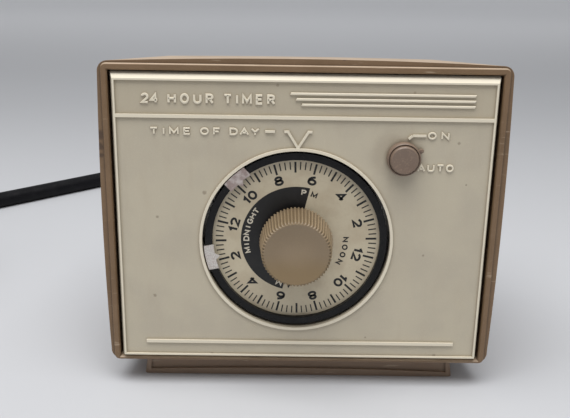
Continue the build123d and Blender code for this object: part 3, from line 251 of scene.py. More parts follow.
def panel_cream():
    look = moulded("panel_cream", srgb(198, 188, 166), srgb(191, 181, 161), srgb(212, 202, 182),
                   srgb(112, 92, 66), 0.42, dirt_and_shade=0.35)
    # streaks of handling grime
    streaks = look.noise(3.5 * MM, 4.0, stretch=(1, 1, 0.22), offset=1.7)
    look.paint(look.maths("MULTIPLY", look.range(streaks, 0.5, 0.75), 0.22), srgb(186, 172, 150))
    # painted shadow with finger grime: a darker halo beside the mode knob; round the dial, a faint
    # darker halo where fingers reach for the knob
    grime_and_shadow_halo = look.spot((MODE_X - 2 * MM, FIELD_Y, MODE_Z), 8.5 * MM, 0.5)
    look.paint(look.maths("MULTIPLY", grime_and_shadow_halo, 0.28), srgb(150, 134, 116))
    around_dial = look.spot((DIAL_X, FIELD_Y, DIAL_Z), 37 * MM, 0.3)
    look.paint(look.maths("MULTIPLY", around_dial, 0.1), srgb(168, 152, 128))
    for x, z, radius in ((44.0, 78.3, 0.5), (-28.6, 62.6, 0.7), (-42.5, 55.0, 0.5),
                         (30.5, 92.6, 0.45), (-7.8, 94.2, 0.5), (36.0, 44.0, 0.4),
                         (-44.0, 30.0, 0.6), (20.0, 16.8, 0.35), (41.5, 11.0, 0.6),
                         (-27.0, 10.6, 0.5), (47.0, 66.0, 0.35)):
        mark = look.spot((x * MM, FIELD_Y, z * MM), radius * MM, 0.5)
        look.paint(look.maths("MULTIPLY", mark, 0.5), srgb(116, 98, 78))
    # painted light: the bevelled top edge faces up, and is made nearly white as if the light from
    # above falls on it
    top_edge_painted_light = look.range(look.axis("Z"), LIP_TOP_Z - 1.6 * MM, LIP_TOP_Z - 1.2 * MM)
    look.paint(look.maths("MULTIPLY", top_edge_painted_light, 0.9), srgb(250, 242, 224))
    # painted highlight: raised lettering and ribs are made lighter than the field behind them; the
    # field of the title band is made darker
    out = look.range(look.axis("Y"), FIELD_Y - 0.12 * MM, FIELD_Y - 0.34 * MM)
    look.paint(look.maths("MULTIPLY", out, 0.9), srgb(236, 226, 204))
    title = look.range(look.axis("Z"), 85.2 * MM, 86.2 * MM)
    field = look.range(look.axis("Y"), FIELD_Y - 0.34 * MM, FIELD_Y - 0.12 * MM)
    title_field = look.maths("MULTIPLY", title, field)
    look.paint(look.maths("MULTIPLY", title_field, 0.3), srgb(172, 158, 134))
    return look.done()


def dial_face():
    look = Look("dial_face", srgb(204, 192, 166), 0.4).soften(0.1 * MM)
    look.paint(look.range(look.noise(5 * MM, 4.0), 0.4, 0.7), srgb(195, 181, 155))
    look.paint(look.maths("MULTIPLY", look.range(look.noise(0.6 * MM, 3.0), 0.5, 0.8), 0.3),
               srgb(186, 168, 138))
    look.rough(look.noise(2 * MM, 3.0), 0.34, 0.5)
    look.bump(look.noise(0.4 * MM, 2.0), 0.012 * MM)
    return look.done()


def rim_black():
    look = Look("rim_black", srgb(13, 13, 14), 0.3, Specular_IOR_Level=0.25).soften(0.12 * MM)
    look.paint(look.range(look.noise(2.5 * MM, 4.0), 0.45, 0.8), srgb(22, 21, 22))
    look.paint(look.maths("MULTIPLY", look.range(look.noise(0.3 * MM, 2.0), 0.64, 0.72), 0.35),
               srgb(66, 60, 54))
    look.rough(look.noise(1.2 * MM, 3.0), 0.26, 0.42)
    look.bump(look.noise(0.5 * MM, 3.0), 0.015 * MM)
    return look.done()


def knob_tan():
    knob_face_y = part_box("time_knob")[0].y
    look = moulded("knob_tan", srgb(154, 134, 108), srgb(146, 127, 101), srgb(178, 156, 120),
                   srgb(78, 62, 40), 0.36, 0.05 * MM)
    # painted shade: the front face is made darker than the ribs; the knob is also yellower low down
    share = look.range(look.axis("Z"), DIAL_Z + 1 * MM, DIAL_Z - 6 * MM)
    face = look.range(look.axis("Y"), knob_face_y + 0.9 * MM, knob_face_y + 0.3 * MM)
    look.paint(look.maths("MULTIPLY", face, 0.6), srgb(130, 112, 88))
    look.paint(look.maths("MULTIPLY", share, 0.5), srgb(134, 110, 70))
    return look.done()


def mode_brown():
    look = moulded("mode_brown", srgb(129, 110, 95), srgb(120, 101, 87), srgb(184, 158, 134),
                   srgb(70, 54, 44), 0.38, 0.12 * MM)
    return look.done()


def tripper_metal(name="tripper_metal", speckle=0.0, tint=(196, 178, 172)):
    """Bright stamped spring steel; speckle lays pale corrosion spots over it."""
    look = Look(name, srgb(*tint), 0.3, 1.0).soften(0.06 * MM)
    look.paint(look.range(look.noise(1.6 * MM, 4.0), 0.4, 0.7), srgb(214, 204, 198))
    grain = look.noise(0.9 * MM, 3.0, stretch=(0.15, 1, 1))
    look.paint(look.maths("MULTIPLY", look.range(grain, 0.5, 0.7), 0.3), srgb(150, 132, 124))
    pits = look.range(look.noise(0.35 * MM, 3.0, offset=5.0), 0.46, 0.6)
    look.paint(look.maths("MULTIPLY", pits, speckle), srgb(236, 233, 226))
    look.rough(look.noise(0.8 * MM, 3.0), 0.25 + 0.25 * speckle, 0.5 + 0.25 * speckle)
    look.bump(look.noise(0.3 * MM, 2.0), (0.01 + 0.03 * speckle) * MM)
    return look.done()


def metal(name, colour, tarnish, roughness, run=(1, 1, 1), grain=0.6 * MM):
    """Worked metal: tarnish clouds, and a machining grain squeezed by run along each axis."""
    look = Look(name, srgb(*colour), roughness, 1.0).soften(0.08 * MM)
    look.paint(look.range(look.noise(4 * MM, 4.0), 0.45, 0.75), srgb(*tarnish))
    lines = look.noise(grain, 3.0, stretch=run)
    look.rough(lines, roughness - 0.08, roughness + 0.14)
    look.bump(lines, 0.012 * MM)
    # painted shade: darker in corners and recesses, found by ambient occlusion
    look.paint(look.maths("MULTIPLY", look.crevices(1.0 * MM), 0.5), srgb(52, 46, 38))
    return look.done()


def winding():
    look = Look("winding", srgb(150, 74, 34), 0.32, 0.85)
    turns = look.node("ShaderNodeTexWave", {"Vector": look.place, "Scale": 1 / (1.6 * MM),
                                            "Distortion": 0.6, "Detail": 1.0},
                      bands_direction="X", wave_profile="SIN").outputs["Fac"]
    look.paint(look.maths("MULTIPLY", turns, 0.5), srgb(196, 112, 60))
    look.paint(look.range(look.noise(3 * MM, 3.0), 0.5, 0.8), srgb(112, 54, 26))
    look.bump(turns, 0.08 * MM)
    return look.done()


def phenolic():
    look = Look("phenolic", srgb(92, 52, 32), 0.35).soften(0.1 * MM)
    look.paint(look.range(look.noise(0.7 * MM, 4.0, stretch=(0.3, 1, 1)), 0.45, 0.7),
               srgb(116, 70, 42))
    look.paint(look.range(look.noise(4 * MM, 3.0), 0.5, 0.8), srgb(70, 40, 26))
    look.bump(look.noise(0.4 * MM, 2.0), 0.015 * MM)
    return look.done()


def bobbin():
    return moulded("bobbin", srgb(214, 206, 186), srgb(200, 190, 166), srgb(230, 224, 208),
                   srgb(110, 96, 74), 0.45).done()


def receptacle_plastic():
    return moulded("receptacle_plastic", srgb(96, 76, 62), srgb(84, 66, 54), srgb(132, 110, 92),
                   srgb(38, 30, 24), 0.34).done()


def lead_insulation():
    look = Look("lead_insulation", srgb(206, 198, 180), 0.5)
    look.paint(look.range(look.noise(2 * MM, 3.0), 0.45, 0.7), srgb(190, 180, 158))
    look.bump(look.noise(0.3 * MM, 2.0), 0.02 * MM)
    return look.done()


def cord_black():
    look = Look("cord_black", srgb(16, 16, 19), 0.5, Specular_IOR_Level=0.15)
    look.paint(look.range(look.noise(5 * MM, 4.0), 0.45, 0.75), srgb(25, 24, 27))
    # painted light with a little dust: the cord's upward-facing side is made a little paler in
    # patches
    patches = look.range(look.noise(0.8 * MM, 4.0), 0.5, 0.75)
    dust_and_top_light = look.maths("MULTIPLY", look.facing_up(), patches)
    look.paint(look.maths("MULTIPLY", dust_and_top_light, 0.08), srgb(96, 92, 88))
    look.rough(look.noise(1.5 * MM, 3.0), 0.38, 0.55)
    look.bump(look.noise(0.5 * MM, 3.0), 0.03 * MM)
    look.bump(look.noise(4 * MM, 2.0), 0.12 * MM)
    return look.done()


def plug_black():
    return moulded("plug_black", srgb(32, 32, 35), srgb(42, 41, 43), srgb(82, 80, 80),
                   srgb(14, 13, 13), 0.4).done()


def printed(name, colour, worn):
    """A thin coat of printing ink, a little patchy."""
    look = Look(name, srgb(*colour), 0.45)
    look.paint(look.maths("MULTIPLY", look.range(look.noise(0.25 * MM, 3.0), 0.55, 0.8), 0.35),
               srgb(*worn))
    look.paint(look.maths("MULTIPLY", look.range(look.noise(3 * MM, 3.0), 0.45, 0.8), 0.4),
               srgb(*worn))
    look.bump(look.noise(0.3 * MM, 2.0), 0.008 * MM)
    return look.done()


LOOKS = {
    "case_brown": case_brown(),
    "panel_cream": panel_cream(),
    "dial_face": dial_face(),
    "rim_black": rim_black(),
    "knob_tan": knob_tan(),
    "mode_brown": mode_brown(),
    "tripper_metal": tripper_metal(),
    "plate_steel": metal("plate_steel", (178, 176, 170), (158, 152, 140), 0.36, (0.1, 1, 1)),
    "gear_brass": metal("gear_brass", (198, 160, 92), (158, 118, 60), 0.3, (1, 1, 1), 0.4 * MM),
    "shaft_steel": metal("shaft_steel", (196, 196, 194), (170, 166, 160), 0.22, (1, 6, 1)),
    "screw_steel": metal("screw_steel", (186, 184, 180), (138, 126, 108), 0.3, (1, 3, 1)),
    "core_steel": metal("core_steel", (128, 126, 124), (104, 88, 72), 0.42, (1, 8, 1)),
    "winding": winding(),
    "bobbin": bobbin(),
    "can_metal": metal("can_metal", (190, 188, 182), (168, 160, 148), 0.3, (1, 5, 1)),
    "phenolic": phenolic(),
    "contact_metal": metal("contact_metal", (206, 170, 110), (164, 122, 74), 0.28, (1, 1, 4)),
    "receptacle_plastic": receptacle_plastic(),
    "lead_insulation": lead_insulation(),
    "cord_black": cord_black(),
    "plug_black": plug_black(),
}
INK_BLACK = printed("ink_black", (14, 13, 13), (34, 31, 29))
INK_WHITE = printed("ink_white", (216, 208, 190), (160, 150, 132))

for subpart in frame["record"]["subparts"]:
    surface = nodes[subpart["node"]].data.materials
    surface.clear()
    surface.append(LOOKS[subpart["material_slot"]])
nodes["on_tripper"].data.materials[0] = tripper_metal("tripper_on", 0.1, (170, 152, 146))
nodes["off_tripper"].data.materials[0] = tripper_metal("tripper_off", 0.75, (214, 208, 202))

# the trippers' folded edges are rounded
FOLD_R = 0.14 * MM
for folded in ("on_tripper", "off_tripper"):
    rounded = nodes[folded].modifiers.new("folded_edges", "BEVEL")
    rounded.width = FOLD_R
    rounded.segments = 3
    rounded.limit_method = "ANGLE"


# ------------------------------------------------------------------ making pieces
SHARP = math.radians(35)


def finished(mesh, name, body, slot, material=None):
    """A mesh as a piece that rides on a body, with its material and its smooth shading."""
    mesh.name = name
    mesh.materials.clear()
    mesh.materials.append(material or LOOKS[slot])
    mesh.shade_smooth()
    mesh.set_sharp_from_angle(angle=SHARP)
    piece = bpy.data.objects.new(name, mesh)
    bpy.context.scene.collection.objects.link(piece)
    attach(piece, body)
    return piece


def mesh_of(vertices, faces):
    """A mesh whose faces all point outwards."""
    mesh = bpy.data.meshes.new("made")
    mesh.from_pydata(vertices, [], faces)
    made = bmesh.new()
    made.from_mesh(mesh)
    bmesh.ops.recalc_face_normals(made, faces=made.faces)
    made.to_mesh(mesh)
    made.free()
    return mesh


def rings_mesh(rings):
    """A closed skin through rings of equally many points, capped at both ends."""
    count = len(rings[0])
    vertices = [point for ring in rings for point in ring]
    faces = []
    for row in range(len(rings) - 1):
        for i in range(count):
            j = (i + 1) % count
            faces.append((row * count + i, row * count + j, (row + 1) * count + j,
                          (row + 1) * count + i))
    faces.append(tuple(range(count)))
    faces.append(tuple(range((len(rings) - 1) * count, len(rings) * count)))
    return mesh_of(vertices, faces)


def turned_ring(x, z, radius, y, steps, rib_depth=0.0, ribs=0):
    """Points round an axis along Y. Ribs cut the ring in by rib_depth between their crests."""
    points = []
    for step in range(steps):
        angle = 2 * math.pi * step / steps
        wave = 0.5 - 0.5 * math.cos(ribs * angle)
        reach = radius - rib_depth * wave ** 1.3
        points.append(Vector((x + reach * math.cos(angle), y, z + reach * math.sin(angle))))
    return points


def joined(meshes):
    """Several meshes as one, each removed afterwards."""
    made = bmesh.new()
    for mesh in meshes:
        made.from_mesh(mesh)
        bpy.data.meshes.remove(mesh)
    whole = bpy.data.meshes.new("joined")
    made.to_mesh(whole)
    made.free()
    return whole


# ------------------------------------------------------------------ supply cord
CORD_R = 3.75 * MM
COIL_CENTRE = (-181.0 * MM, 43.5 * MM)
COIL_START_R = 52.0 * MM
COIL_PITCH = 2 * CORD_R
COIL_LAYER_TURNS = 2.4
COIL_CLIMB_TURNS = 0.332
COIL_ENTRY = 132.5                           # direction of the coil's first point, degrees
POINTS_PER_TURN = 16

route = [
    (0.018, 0.0685, 0.018),
    (0.0181, 0.090, 0.0179),
    (0.0186, 0.113, 0.0104),
    (0.015, 0.140, 0.00375),
    (0.002, 0.170, 0.00375),
    (-0.021, 0.195, 0.00375),
    (-0.052, 0.208, 0.00375),
    (-0.083, 0.200, 0.00375),
    (-0.108, 0.177, 0.00375),
    (-0.1315, 0.1556, 0.00375),
    (-0.158, 0.1316, 0.00375),
    (-0.186, 0.1048, 0.00375),
]
tail = [
    (-0.2342, 0.0305, 0.01115),
    (-0.2362, 0.0175, 0.0098),
    (-0.2364, 0.0045, 0.0096),
]


def coil_points():
    """The coil's turns: a layer that winds in, a climb, and a layer that winds out on top."""
    total = 2 * COIL_LAYER_TURNS + COIL_CLIMB_TURNS
    count = round(total * POINTS_PER_TURN)
    swell = 1 / math.cos(math.pi / POINTS_PER_TURN)
    points = []
    for i in range(count + 1):
        turns = total * i / count
        wound_in = min(turns, COIL_LAYER_TURNS)
        wound_out = max(turns - COIL_LAYER_TURNS - COIL_CLIMB_TURNS, 0.0)
        climb = min(max((turns - COIL_LAYER_TURNS) / COIL_CLIMB_TURNS, 0.0), 1.0)
        radius = (COIL_START_R - COIL_PITCH * (wound_in - wound_out)) * swell
        angle = math.radians(COIL_ENTRY) + 2 * math.pi * turns
        points.append((COIL_CENTRE[0] + radius * math.cos(angle),
                       COIL_CENTRE[1] + radius * math.sin(angle),
                       CORD_R * (1 + 2 * climb)))
    return points


def cord_curve(name, points):
    """A round cord along one smooth NURBS line through its control points."""
    curve = bpy.data.curves.new(name, "CURVE")
    curve.dimensions = "3D"
    spline = curve.splines.new("NURBS")
    spline.points.add(len(points) - 1)
    for point, place in zip(spline.points, points):
        point.co = (*place, 1.0)
    spline.order_u = 3
    spline.use_endpoint_u = True
    spline.resolution_u = 10
    curve.bevel_depth = CORD_R
    curve.bevel_resolution = 6
    curve.use_fill_caps = True
    curve.materials.append(LOOKS["cord_black"])
    made = bpy.data.objects.new(name, curve)
    bpy.context.scene.collection.objects.link(made)
    return made


supply_cord = cord_curve("supply_cord", route + coil_points() + tail)
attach(supply_cord, "housing")
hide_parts("power_cord", "cord_coil", "cord_tail")


# the strain relief: a flange, then a taper with grooves round it
relief_low, relief_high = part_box("strain_relief")
CORD_X = (relief_low.x + relief_high.x) / 2
CORD_Z = (relief_low.z + relief_high.z) / 2
BACK_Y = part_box("back_cover")[1].y
RELIEF_GROOVES = 6
RELIEF_TIP_R = CORD_R + 0.9 * MM


def strain_relief():
    """The moulded sleeve that the cord leaves the case through."""
    stations = [(5.9, BACK_Y - 6.4 * MM), (5.9, BACK_Y), (6.9, BACK_Y), (7.2, BACK_Y + 0.3 * MM),
                (7.2, BACK_Y + 1.6 * MM), (6.9, BACK_Y + 2.0 * MM), (6.4, BACK_Y + 2.1 * MM)]
    taper_start = BACK_Y + 2.1 * MM
    taper_end = relief_high.y
    for groove in range(RELIEF_GROOVES):
        for share, sunk in ((0.25, 0.0), (0.3, 0.3), (0.38, 0.75), (0.62, 0.75), (0.7, 0.3),
                            (0.75, 0.0)):
            along = (groove + share) / RELIEF_GROOVES
            radius = 6.4 + (RELIEF_TIP_R / MM - 6.4) * along
            stations.append((radius - sunk * 0.9, taper_start + (taper_end - taper_start) * along))
    stations.append((RELIEF_TIP_R / MM, taper_end - 0.5 * MM))
    stations.append((RELIEF_TIP_R / MM - 0.35, taper_end))
    return rings_mesh([turned_ring(CORD_X, CORD_Z, r * MM, y, 64) for r, y in stations])


relief = finished(strain_relief(), "cord_strain_relief", "housing", "cord_black")
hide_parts("strain_relief")


# the plug: a moulded body with finger grooves across its flat sides
plug_low, plug_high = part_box("plug_body")
PLUG_X = (plug_low.x + plug_high.x) / 2
PLUG_Z = (plug_low.z + plug_high.z) / 2


def rounded_ring(half_w, half_h, corner, y, steps=64):
    """A rounded rectangle of points about the plug's axis."""
    points = []
    for step in range(steps):
        angle = 2 * math.pi * (step + 0.5) / steps
        cosine, sine = math.cos(angle), math.sin(angle)
        power = 2 + 4 * (1 - corner)
        scale = (abs(cosine) ** power + abs(sine) ** power) ** (-1 / power)
        points.append(Vector((PLUG_X + half_w * cosine * scale, y, PLUG_Z + half_h * sine * scale)))
    return points


def plug_shell():
    """Plug body from its cord sleeve to its blade face."""
    rear, face = plug_high.y, plug_low.y
    sleeve = rear - 15 * MM
    rings = [rounded_ring(4.2 * MM, 4.2 * MM, 1.0, rear)]
    for share in (0.03, 0.2, 0.26, 0.34, 0.4, 0.55, 0.61, 0.69, 0.75, 0.96):
        groove = 0.55 if share in (0.26, 0.34, 0.61, 0.69) else 0.0
        radius = (4.55 + 1.4 * share - groove) * MM
        rings.append(rounded_ring(radius, radius, 1.0, rear + (sleeve - rear) * share))
    rings.append(rounded_ring(7.6 * MM, 6.6 * MM, 0.7, sleeve - 0.4 * MM))
    length = sleeve - face
    for share in (0.1, 0.22, 0.3, 0.34, 0.42, 0.46, 0.54, 0.58, 0.66, 0.7, 0.86):
        groove = 0.7 if share in (0.3, 0.42, 0.54, 0.66) else 0.0
        half_w = (8.0 + 4.5 * share - groove) * MM
        half_h = (7.0 + 2.0 * share - 0.4 * groove) * MM
        rings.append(rounded_ring(half_w, half_h, 0.35, sleeve - length * share))
    rings.append(rounded_ring(12.4 * MM, 8.95 * MM, 0.3, face + 1.2 * MM))
    rings.append(rounded_ring(12.1 * MM, 8.7 * MM, 0.3, face + 0.3 * MM))
    rings.append(rounded_ring(11.6 * MM, 8.2 * MM, 0.3, face))
    return rings_mesh(rings)


plug = finished(plug_shell(), "plug_moulding", "housing", "plug_black")
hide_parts("plug_body")


# ------------------------------------------------------------------ stage and lights
def stage_floor():
    """A pale round table that rises gently at its far edge."""
    profile = [(0.0, 0.0), (0.3, 0.0), (0.9, 0.0), (1.3, 0.0), (1.6, 0.05), (1.8, 0.2),
               (1.9, 0.5), (1.92, 1.0)]
    steps = 96
    vertices = [(0.0, 0.0, 0.0)]
    faces = []
    for radius, height in profile[1:]:
        vertices += [(radius * math.cos(2 * math.pi * i / steps),
                      radius * math.sin(2 * math.pi * i / steps), height) for i in range(steps)]
    for i in range(steps):
        j = (i + 1) % steps
        faces.append((0, 1 + i, 1 + j))
        for row in range(len(profile) - 2):
            start = 1 + row * steps
            faces.append((start + i, start + steps + i, start + steps + j, start + j))
    mesh = bpy.data.meshes.new("stage_floor")
    mesh.from_pydata(vertices, [], faces)
    mesh.shade_smooth()
    look = Look("stage_paper", srgb(198, 199, 202), 0.85, Specular_IOR_Level=0.15)
    look.paint(look.range(look.noise(0.2, 2.0), 0.4, 0.7), srgb(196, 197, 200))
    # painted shade and light standing in for the fall of light across the table: darker from 3 cm
    # to 45 cm back, then lighter from 50 cm to 1.1 m back
    look.paint(look.range(look.axis("Y"), 0.03, 0.45), srgb(178, 179, 182))
    look.paint(look.range(look.axis("Y"), 0.5, 1.1), srgb(224, 225, 228))
    look.bump(look.noise(0.8 * MM, 2.0), 0.01 * MM)
    mesh.materials.append(look.done())
    floor = bpy.data.objects.new("stage_floor", mesh)
    bpy.context.scene.collection.objects.link(floor)


def area_light(name, place, aim, size, power):
    """A soft rectangular light at place, turned towards aim."""
    light = bpy.data.lights.new(name, "AREA")
    light.shape = "RECTANGLE"
    light.size, light.size_y = size
    light.energy = power
    lamp = bpy.data.objects.new(name, light)
    lamp.location = place
    lamp.rotation_euler = (Vector(aim) - Vector(place)).to_track_quat("-Z", "Y").to_euler()
    lamp.visible_camera = False
    bpy.context.scene.collection.objects.link(lamp)


stage_floor()
OVERHEAD_PLACE = (-0.08, -0.26, 0.92)
OVERHEAD_AIM = (0, 0.02, 0)
OVERHEAD_SIZE = (0.9, 0.6)
OVERHEAD_WATTS = 9.5
area_light("overhead", OVERHEAD_PLACE, OVERHEAD_AIM, OVERHEAD_SIZE, OVERHEAD_WATTS)
world = bpy.data.worlds.new("room")
world.use_nodes = True
world.node_tree.nodes["Background"].inputs["Color"].default_value = (0.98, 0.99, 1.0, 1)
world.node_tree.nodes["Background"].inputs["Strength"].default_value = 0.45
bpy.context.scene.world = world


# ------------------------------------------------------------------ lettering
def arc(x, z, across, up, start, end, steps=10):
    """Points of an elliptical arc about (x, z), from one direction to another in degrees."""
    turns = [math.radians(start + (end - start) * i / steps) for i in range(steps + 1)]
    return [(x + across * math.cos(turn), z + up * math.sin(turn)) for turn in turns]


# each letter's pen strokes, for a height of 1; a stroke that ends where it starts is closed
GLYPHS = {
    "A": [[(0, 0), (0.43, 1), (0.86, 0)], [(0.15, 0.34), (0.71, 0.34)]],
    "D": [[(0, 0), (0, 1), *arc(0.36, 0.5, 0.4, 0.5, 90, -90), (0, 0)]],
    "E": [[(0.64, 1), (0, 1), (0, 0), (0.64, 0)], [(0, 0.52), (0.56, 0.52)]],
    "F": [[(0.64, 1), (0, 1), (0, 0)], [(0, 0.5), (0.56, 0.5)]],
    "G": [[*arc(0.4, 0.5, 0.4, 0.5, 40, 345, 16), (0.8, 0.46), (0.46, 0.46)]],
    "H": [[(0, 0), (0, 1)], [(0.74, 0), (0.74, 1)], [(0, 0.52), (0.74, 0.52)]],
    "I": [[(0, 0), (0, 1)]],
    "M": [[(0, 0), (0, 1), (0.45, 0.2), (0.9, 1), (0.9, 0)]],
    "N": [[(0, 0), (0, 1), (0.74, 0), (0.74, 1)]],
    "O": [arc(0.4, 0.5, 0.4, 0.5, 0, 360, 24)],
    "P": [[(0, 0), (0, 1), *arc(0.36, 0.74, 0.3, 0.26, 90, -90), (0, 0.48)]],
    "R": [[(0, 0), (0, 1), *arc(0.36, 0.75, 0.3, 0.25, 90, -90), (0, 0.5)],
          [(0.34, 0.5), (0.68, 0)]],
    "T": [[(0, 1), (0.78, 1)], [(0.39, 1), (0.39, 0)]],
    "U": [[(0, 1), *arc(0.37, 0.34, 0.37, 0.34, 180, 360), (0.74, 1)]],
    "Y": [[(0, 1), (0.42, 0.46), (0.84, 1)], [(0.42, 0.46), (0.42, 0)]],
    "0": [arc(0.32, 0.5, 0.32, 0.5, 0, 360, 24)],
    "1": [[(0, 0.76), (0.26, 1), (0.26, 0)]],
    "2": [[*arc(0.32, 0.7, 0.32, 0.3, 165, -38, 12), (0, 0), (0.66, 0)]],
    "4": [[(0.52, 0), (0.52, 1), (0, 0.3), (0.74, 0.3)]],
    "6": [[*arc(0.62, 0.42, 0.62, 0.58, 95, 172, 8), *arc(0.33, 0.31, 0.33, 0.31, 180, 540, 20)]],
    "8": [arc(0.33, 0.27, 0.33, 0.27, 90, 450, 20), arc(0.33, 0.77, 0.28, 0.23, -90, 270, 20)],
}


def pen_stroke(points, section):
    """A pen drawn along (x, z) points with mitred turns; section lists (across, rise) pairs."""
    closed = math.dist(points[0], points[-1]) < 1e-6
    line = [Vector(point) for point in (points[:-1] if closed else points)]
    count = len(line)
    rings = []
    for i, point in enumerate(line):
        before = line[i - 1] if closed or i else None
        after = line[(i + 1) % count] if closed or i < count - 1 else None
        ways = [way.normalized() for way in ((point - before) if before else None,
                                             (after - point) if after else None) if way]
        normals = [Vector((-way.y, way.x)) for way in ways]
        mitre = sum(normals, Vector((0, 0))).normalized()
        stretch = min(1 / max(mitre.dot(normals[0]), 0.1), 2.2)
        rings.append([Vector((point.x + across * stretch * mitre.x,
                              point.y + across * stretch * mitre.y, rise))
                      for across, rise in section])
    if not closed:
        return rings_mesh(rings)
    sides = len(section)
    vertices = [corner for ring in rings for corner in ring]
    faces = [(row * sides + i, row * sides + (i + 1) % sides,
              (row + 1) % count * sides + (i + 1) % sides, (row + 1) % count * sides + i)
             for row in range(count) for i in range(sides)]
    return mesh_of(vertices, faces)


def flat_pen(width, rise):
    """The section of a printed line."""
    half = width / 2
    return [(-half, -rise / 2), (-half, rise), (half, rise), (half, -rise / 2)]


def round_pen(width, rise):
    """The section of a moulded line whose top edges are rounded."""
    half = width / 2
    return [(-half - 0.06 * rise, -0.2 * rise), (-half, 0.6 * rise), (-0.84 * half, 0.88 * rise),
            (-0.55 * half, rise), (0.55 * half, rise), (0.84 * half, 0.88 * rise),
            (half, 0.6 * rise), (half + 0.06 * rise, -0.2 * rise)]


def letters(text, cap, widen, pen, section, gap=None, across=None):
    """Block letters as a mesh, with the baseline at 0 and centred on x.

    Either the gap between letters is given, or the whole width across.
    """
    widths = [max(x for stroke in GLYPHS[c] for x, z in stroke) * cap * widen + pen for c in text]
    if across is not None:
        gap = (across - sum(widths)) / (len(text) - 1)
    left = -(sum(widths) + gap * (len(text) - 1)) / 2 + pen / 2
    meshes = []
    for character, width in zip(text, widths):
        for stroke in GLYPHS[character]:
            points = [(left + x * cap * widen, pen / 2 + z * (cap - pen)) for x, z in stroke]
            meshes.append(pen_stroke(points, section))
        left += width + gap
    return joined(meshes)


def laid(mesh, x, z, up_degrees, y):
    """A face-on mesh moved to (x, z) at depth y, its top towards up_degrees."""
    turn = math.radians(up_degrees)
    up = Vector((math.cos(turn), 0, math.sin(turn)))
    right = Vector((math.sin(turn), 0, -math.cos(turn)))
    out = Vector((0, -1, 0))
    for vertex in mesh.vertices:
        u, v, w = vertex.co
        vertex.co = Vector((x, y, z)) + u * right + v * up + w * out
    return mesh


LETTER_RISE = 0.42 * MM
UPRIGHT = 90.0


def raised_words(name, words, cap, widen, pen):
    """Words moulded on the panel's field; each has its text, left, right and baseline in mm."""
    meshes = []
    for text, left, right, base in words:
        mesh = letters(text, cap * MM, widen, pen * MM, round_pen(pen * MM, LETTER_RISE),
                       across=(right - left) * MM)
        meshes.append(laid(mesh, (left + right) / 2 * MM, base * MM, UPRIGHT, FIELD_Y))
    return finished(joined(meshes), name, "housing", "panel_cream")


raised_words("words_time_of_day", (("TIME", -43.9, -32.2, 79.68), ("OF", -29.6, -23.8, 79.72),
                                   ("DAY", -21.3, -12.7, 79.76)), 2.25, 1.1, 0.56)
raised_words("word_on", (("ON", 34.9, 41.1, 79.3),), 2.25, 1.1, 0.56)
raised_words("word_auto", (("AUTO", 32.4, 43.0, 69.8),), 2.3, 0.95, 0.56)
raised_words("words_title", (("24", -46.0, -41.0, 88.6), ("HOUR", -38.6, -25.6, 88.6),
                             ("TIMER", -23.0, -8.4, 88.6)), 3.0, 0.8, 0.72)


# raised pinstripes at the right of the title band
def bar_mesh(left, right, z, thickness, slant):
    """A low raised bar with slanting ends and rounded long edges."""
    half = thickness / 2
    section = [(-half, 0.1), (-half, -0.32), (-0.6 * half, -0.5), (0.6 * half, -0.5),
               (half, -0.32), (half, 0.1)]
    rings = []
    for x, lean in ((left, slant), (right, slant)):
        rings.append([Vector(((x + lean * up) * MM, FIELD_Y + out * MM, (z + up) * MM))
                      for up, out in section])
    return rings_mesh(rings)


STRIPES = 3
STRIPE_LEFT, STRIPE_RIGHT, STRIPE_TOP = -4.2, 47.6, 91.9
STRIPE_INDENT, STRIPE_PITCH = 1.6, 1.55
STRIPE_T, STRIPE_SLANT = 0.75, 0.5
finished(joined([bar_mesh(STRIPE_LEFT + STRIPE_INDENT * row, STRIPE_RIGHT,
                          STRIPE_TOP - STRIPE_PITCH * row, STRIPE_T, STRIPE_SLANT)
                 for row in range(STRIPES)]),
         "title_pinstripes", "housing", "panel_cream")


# ------------------------------------------------------------------ dial printing
TICKS_PER_TURN = 96
TICKS_PER_HOUR = 4
TOP_HOUR = 19
PRINT_Y = DISC_Y
PRINT_T = 0.03 * MM
NUMERAL_CAP = 2.9 * MM
NUMERAL_PEN = 0.68 * MM
NUMERAL_WIDEN = 1.05
NUMERAL_GAP = 0.4 * MM
NUMERAL_R = 17.35 * MM
TICK_OUTER_R = 23.9 * MM
HOUR_TICK_INNER_R = 20.7 * MM
HOUR_TICK_HALF_W = 0.3 * MM
QUARTER_TICK_INNER_R = 21.6 * MM
QUARTER_TICK_HALF_W = 0.17 * MM
PRINT_TURN = 91.5              # direction of the top hour at rest, degrees


def dial_angle(hour):
    """The direction on the face, in degrees, of an hour of the day."""
    return PRINT_TURN + (hour - TOP_HOUR) * 15


def plate_mesh(corners, y, thickness):
    """A flat plate through (x, z) corners, thickness thick in front of depth y."""
    rings = [[Vector((x, depth, z)) for x, z in corners]
             for depth in (y + 0.01 * MM, y - thickness)]
    return rings_mesh(rings)


def on_dial(radius, degrees, sideways=0.0):
    """A point of the dial at a radius and direction, moved sideways a little."""
    angle = math.radians(degrees)
    return (DIAL_X + radius * math.cos(angle) - sideways * math.sin(angle),
            DIAL_Z + radius * math.sin(angle) + sideways * math.cos(angle))


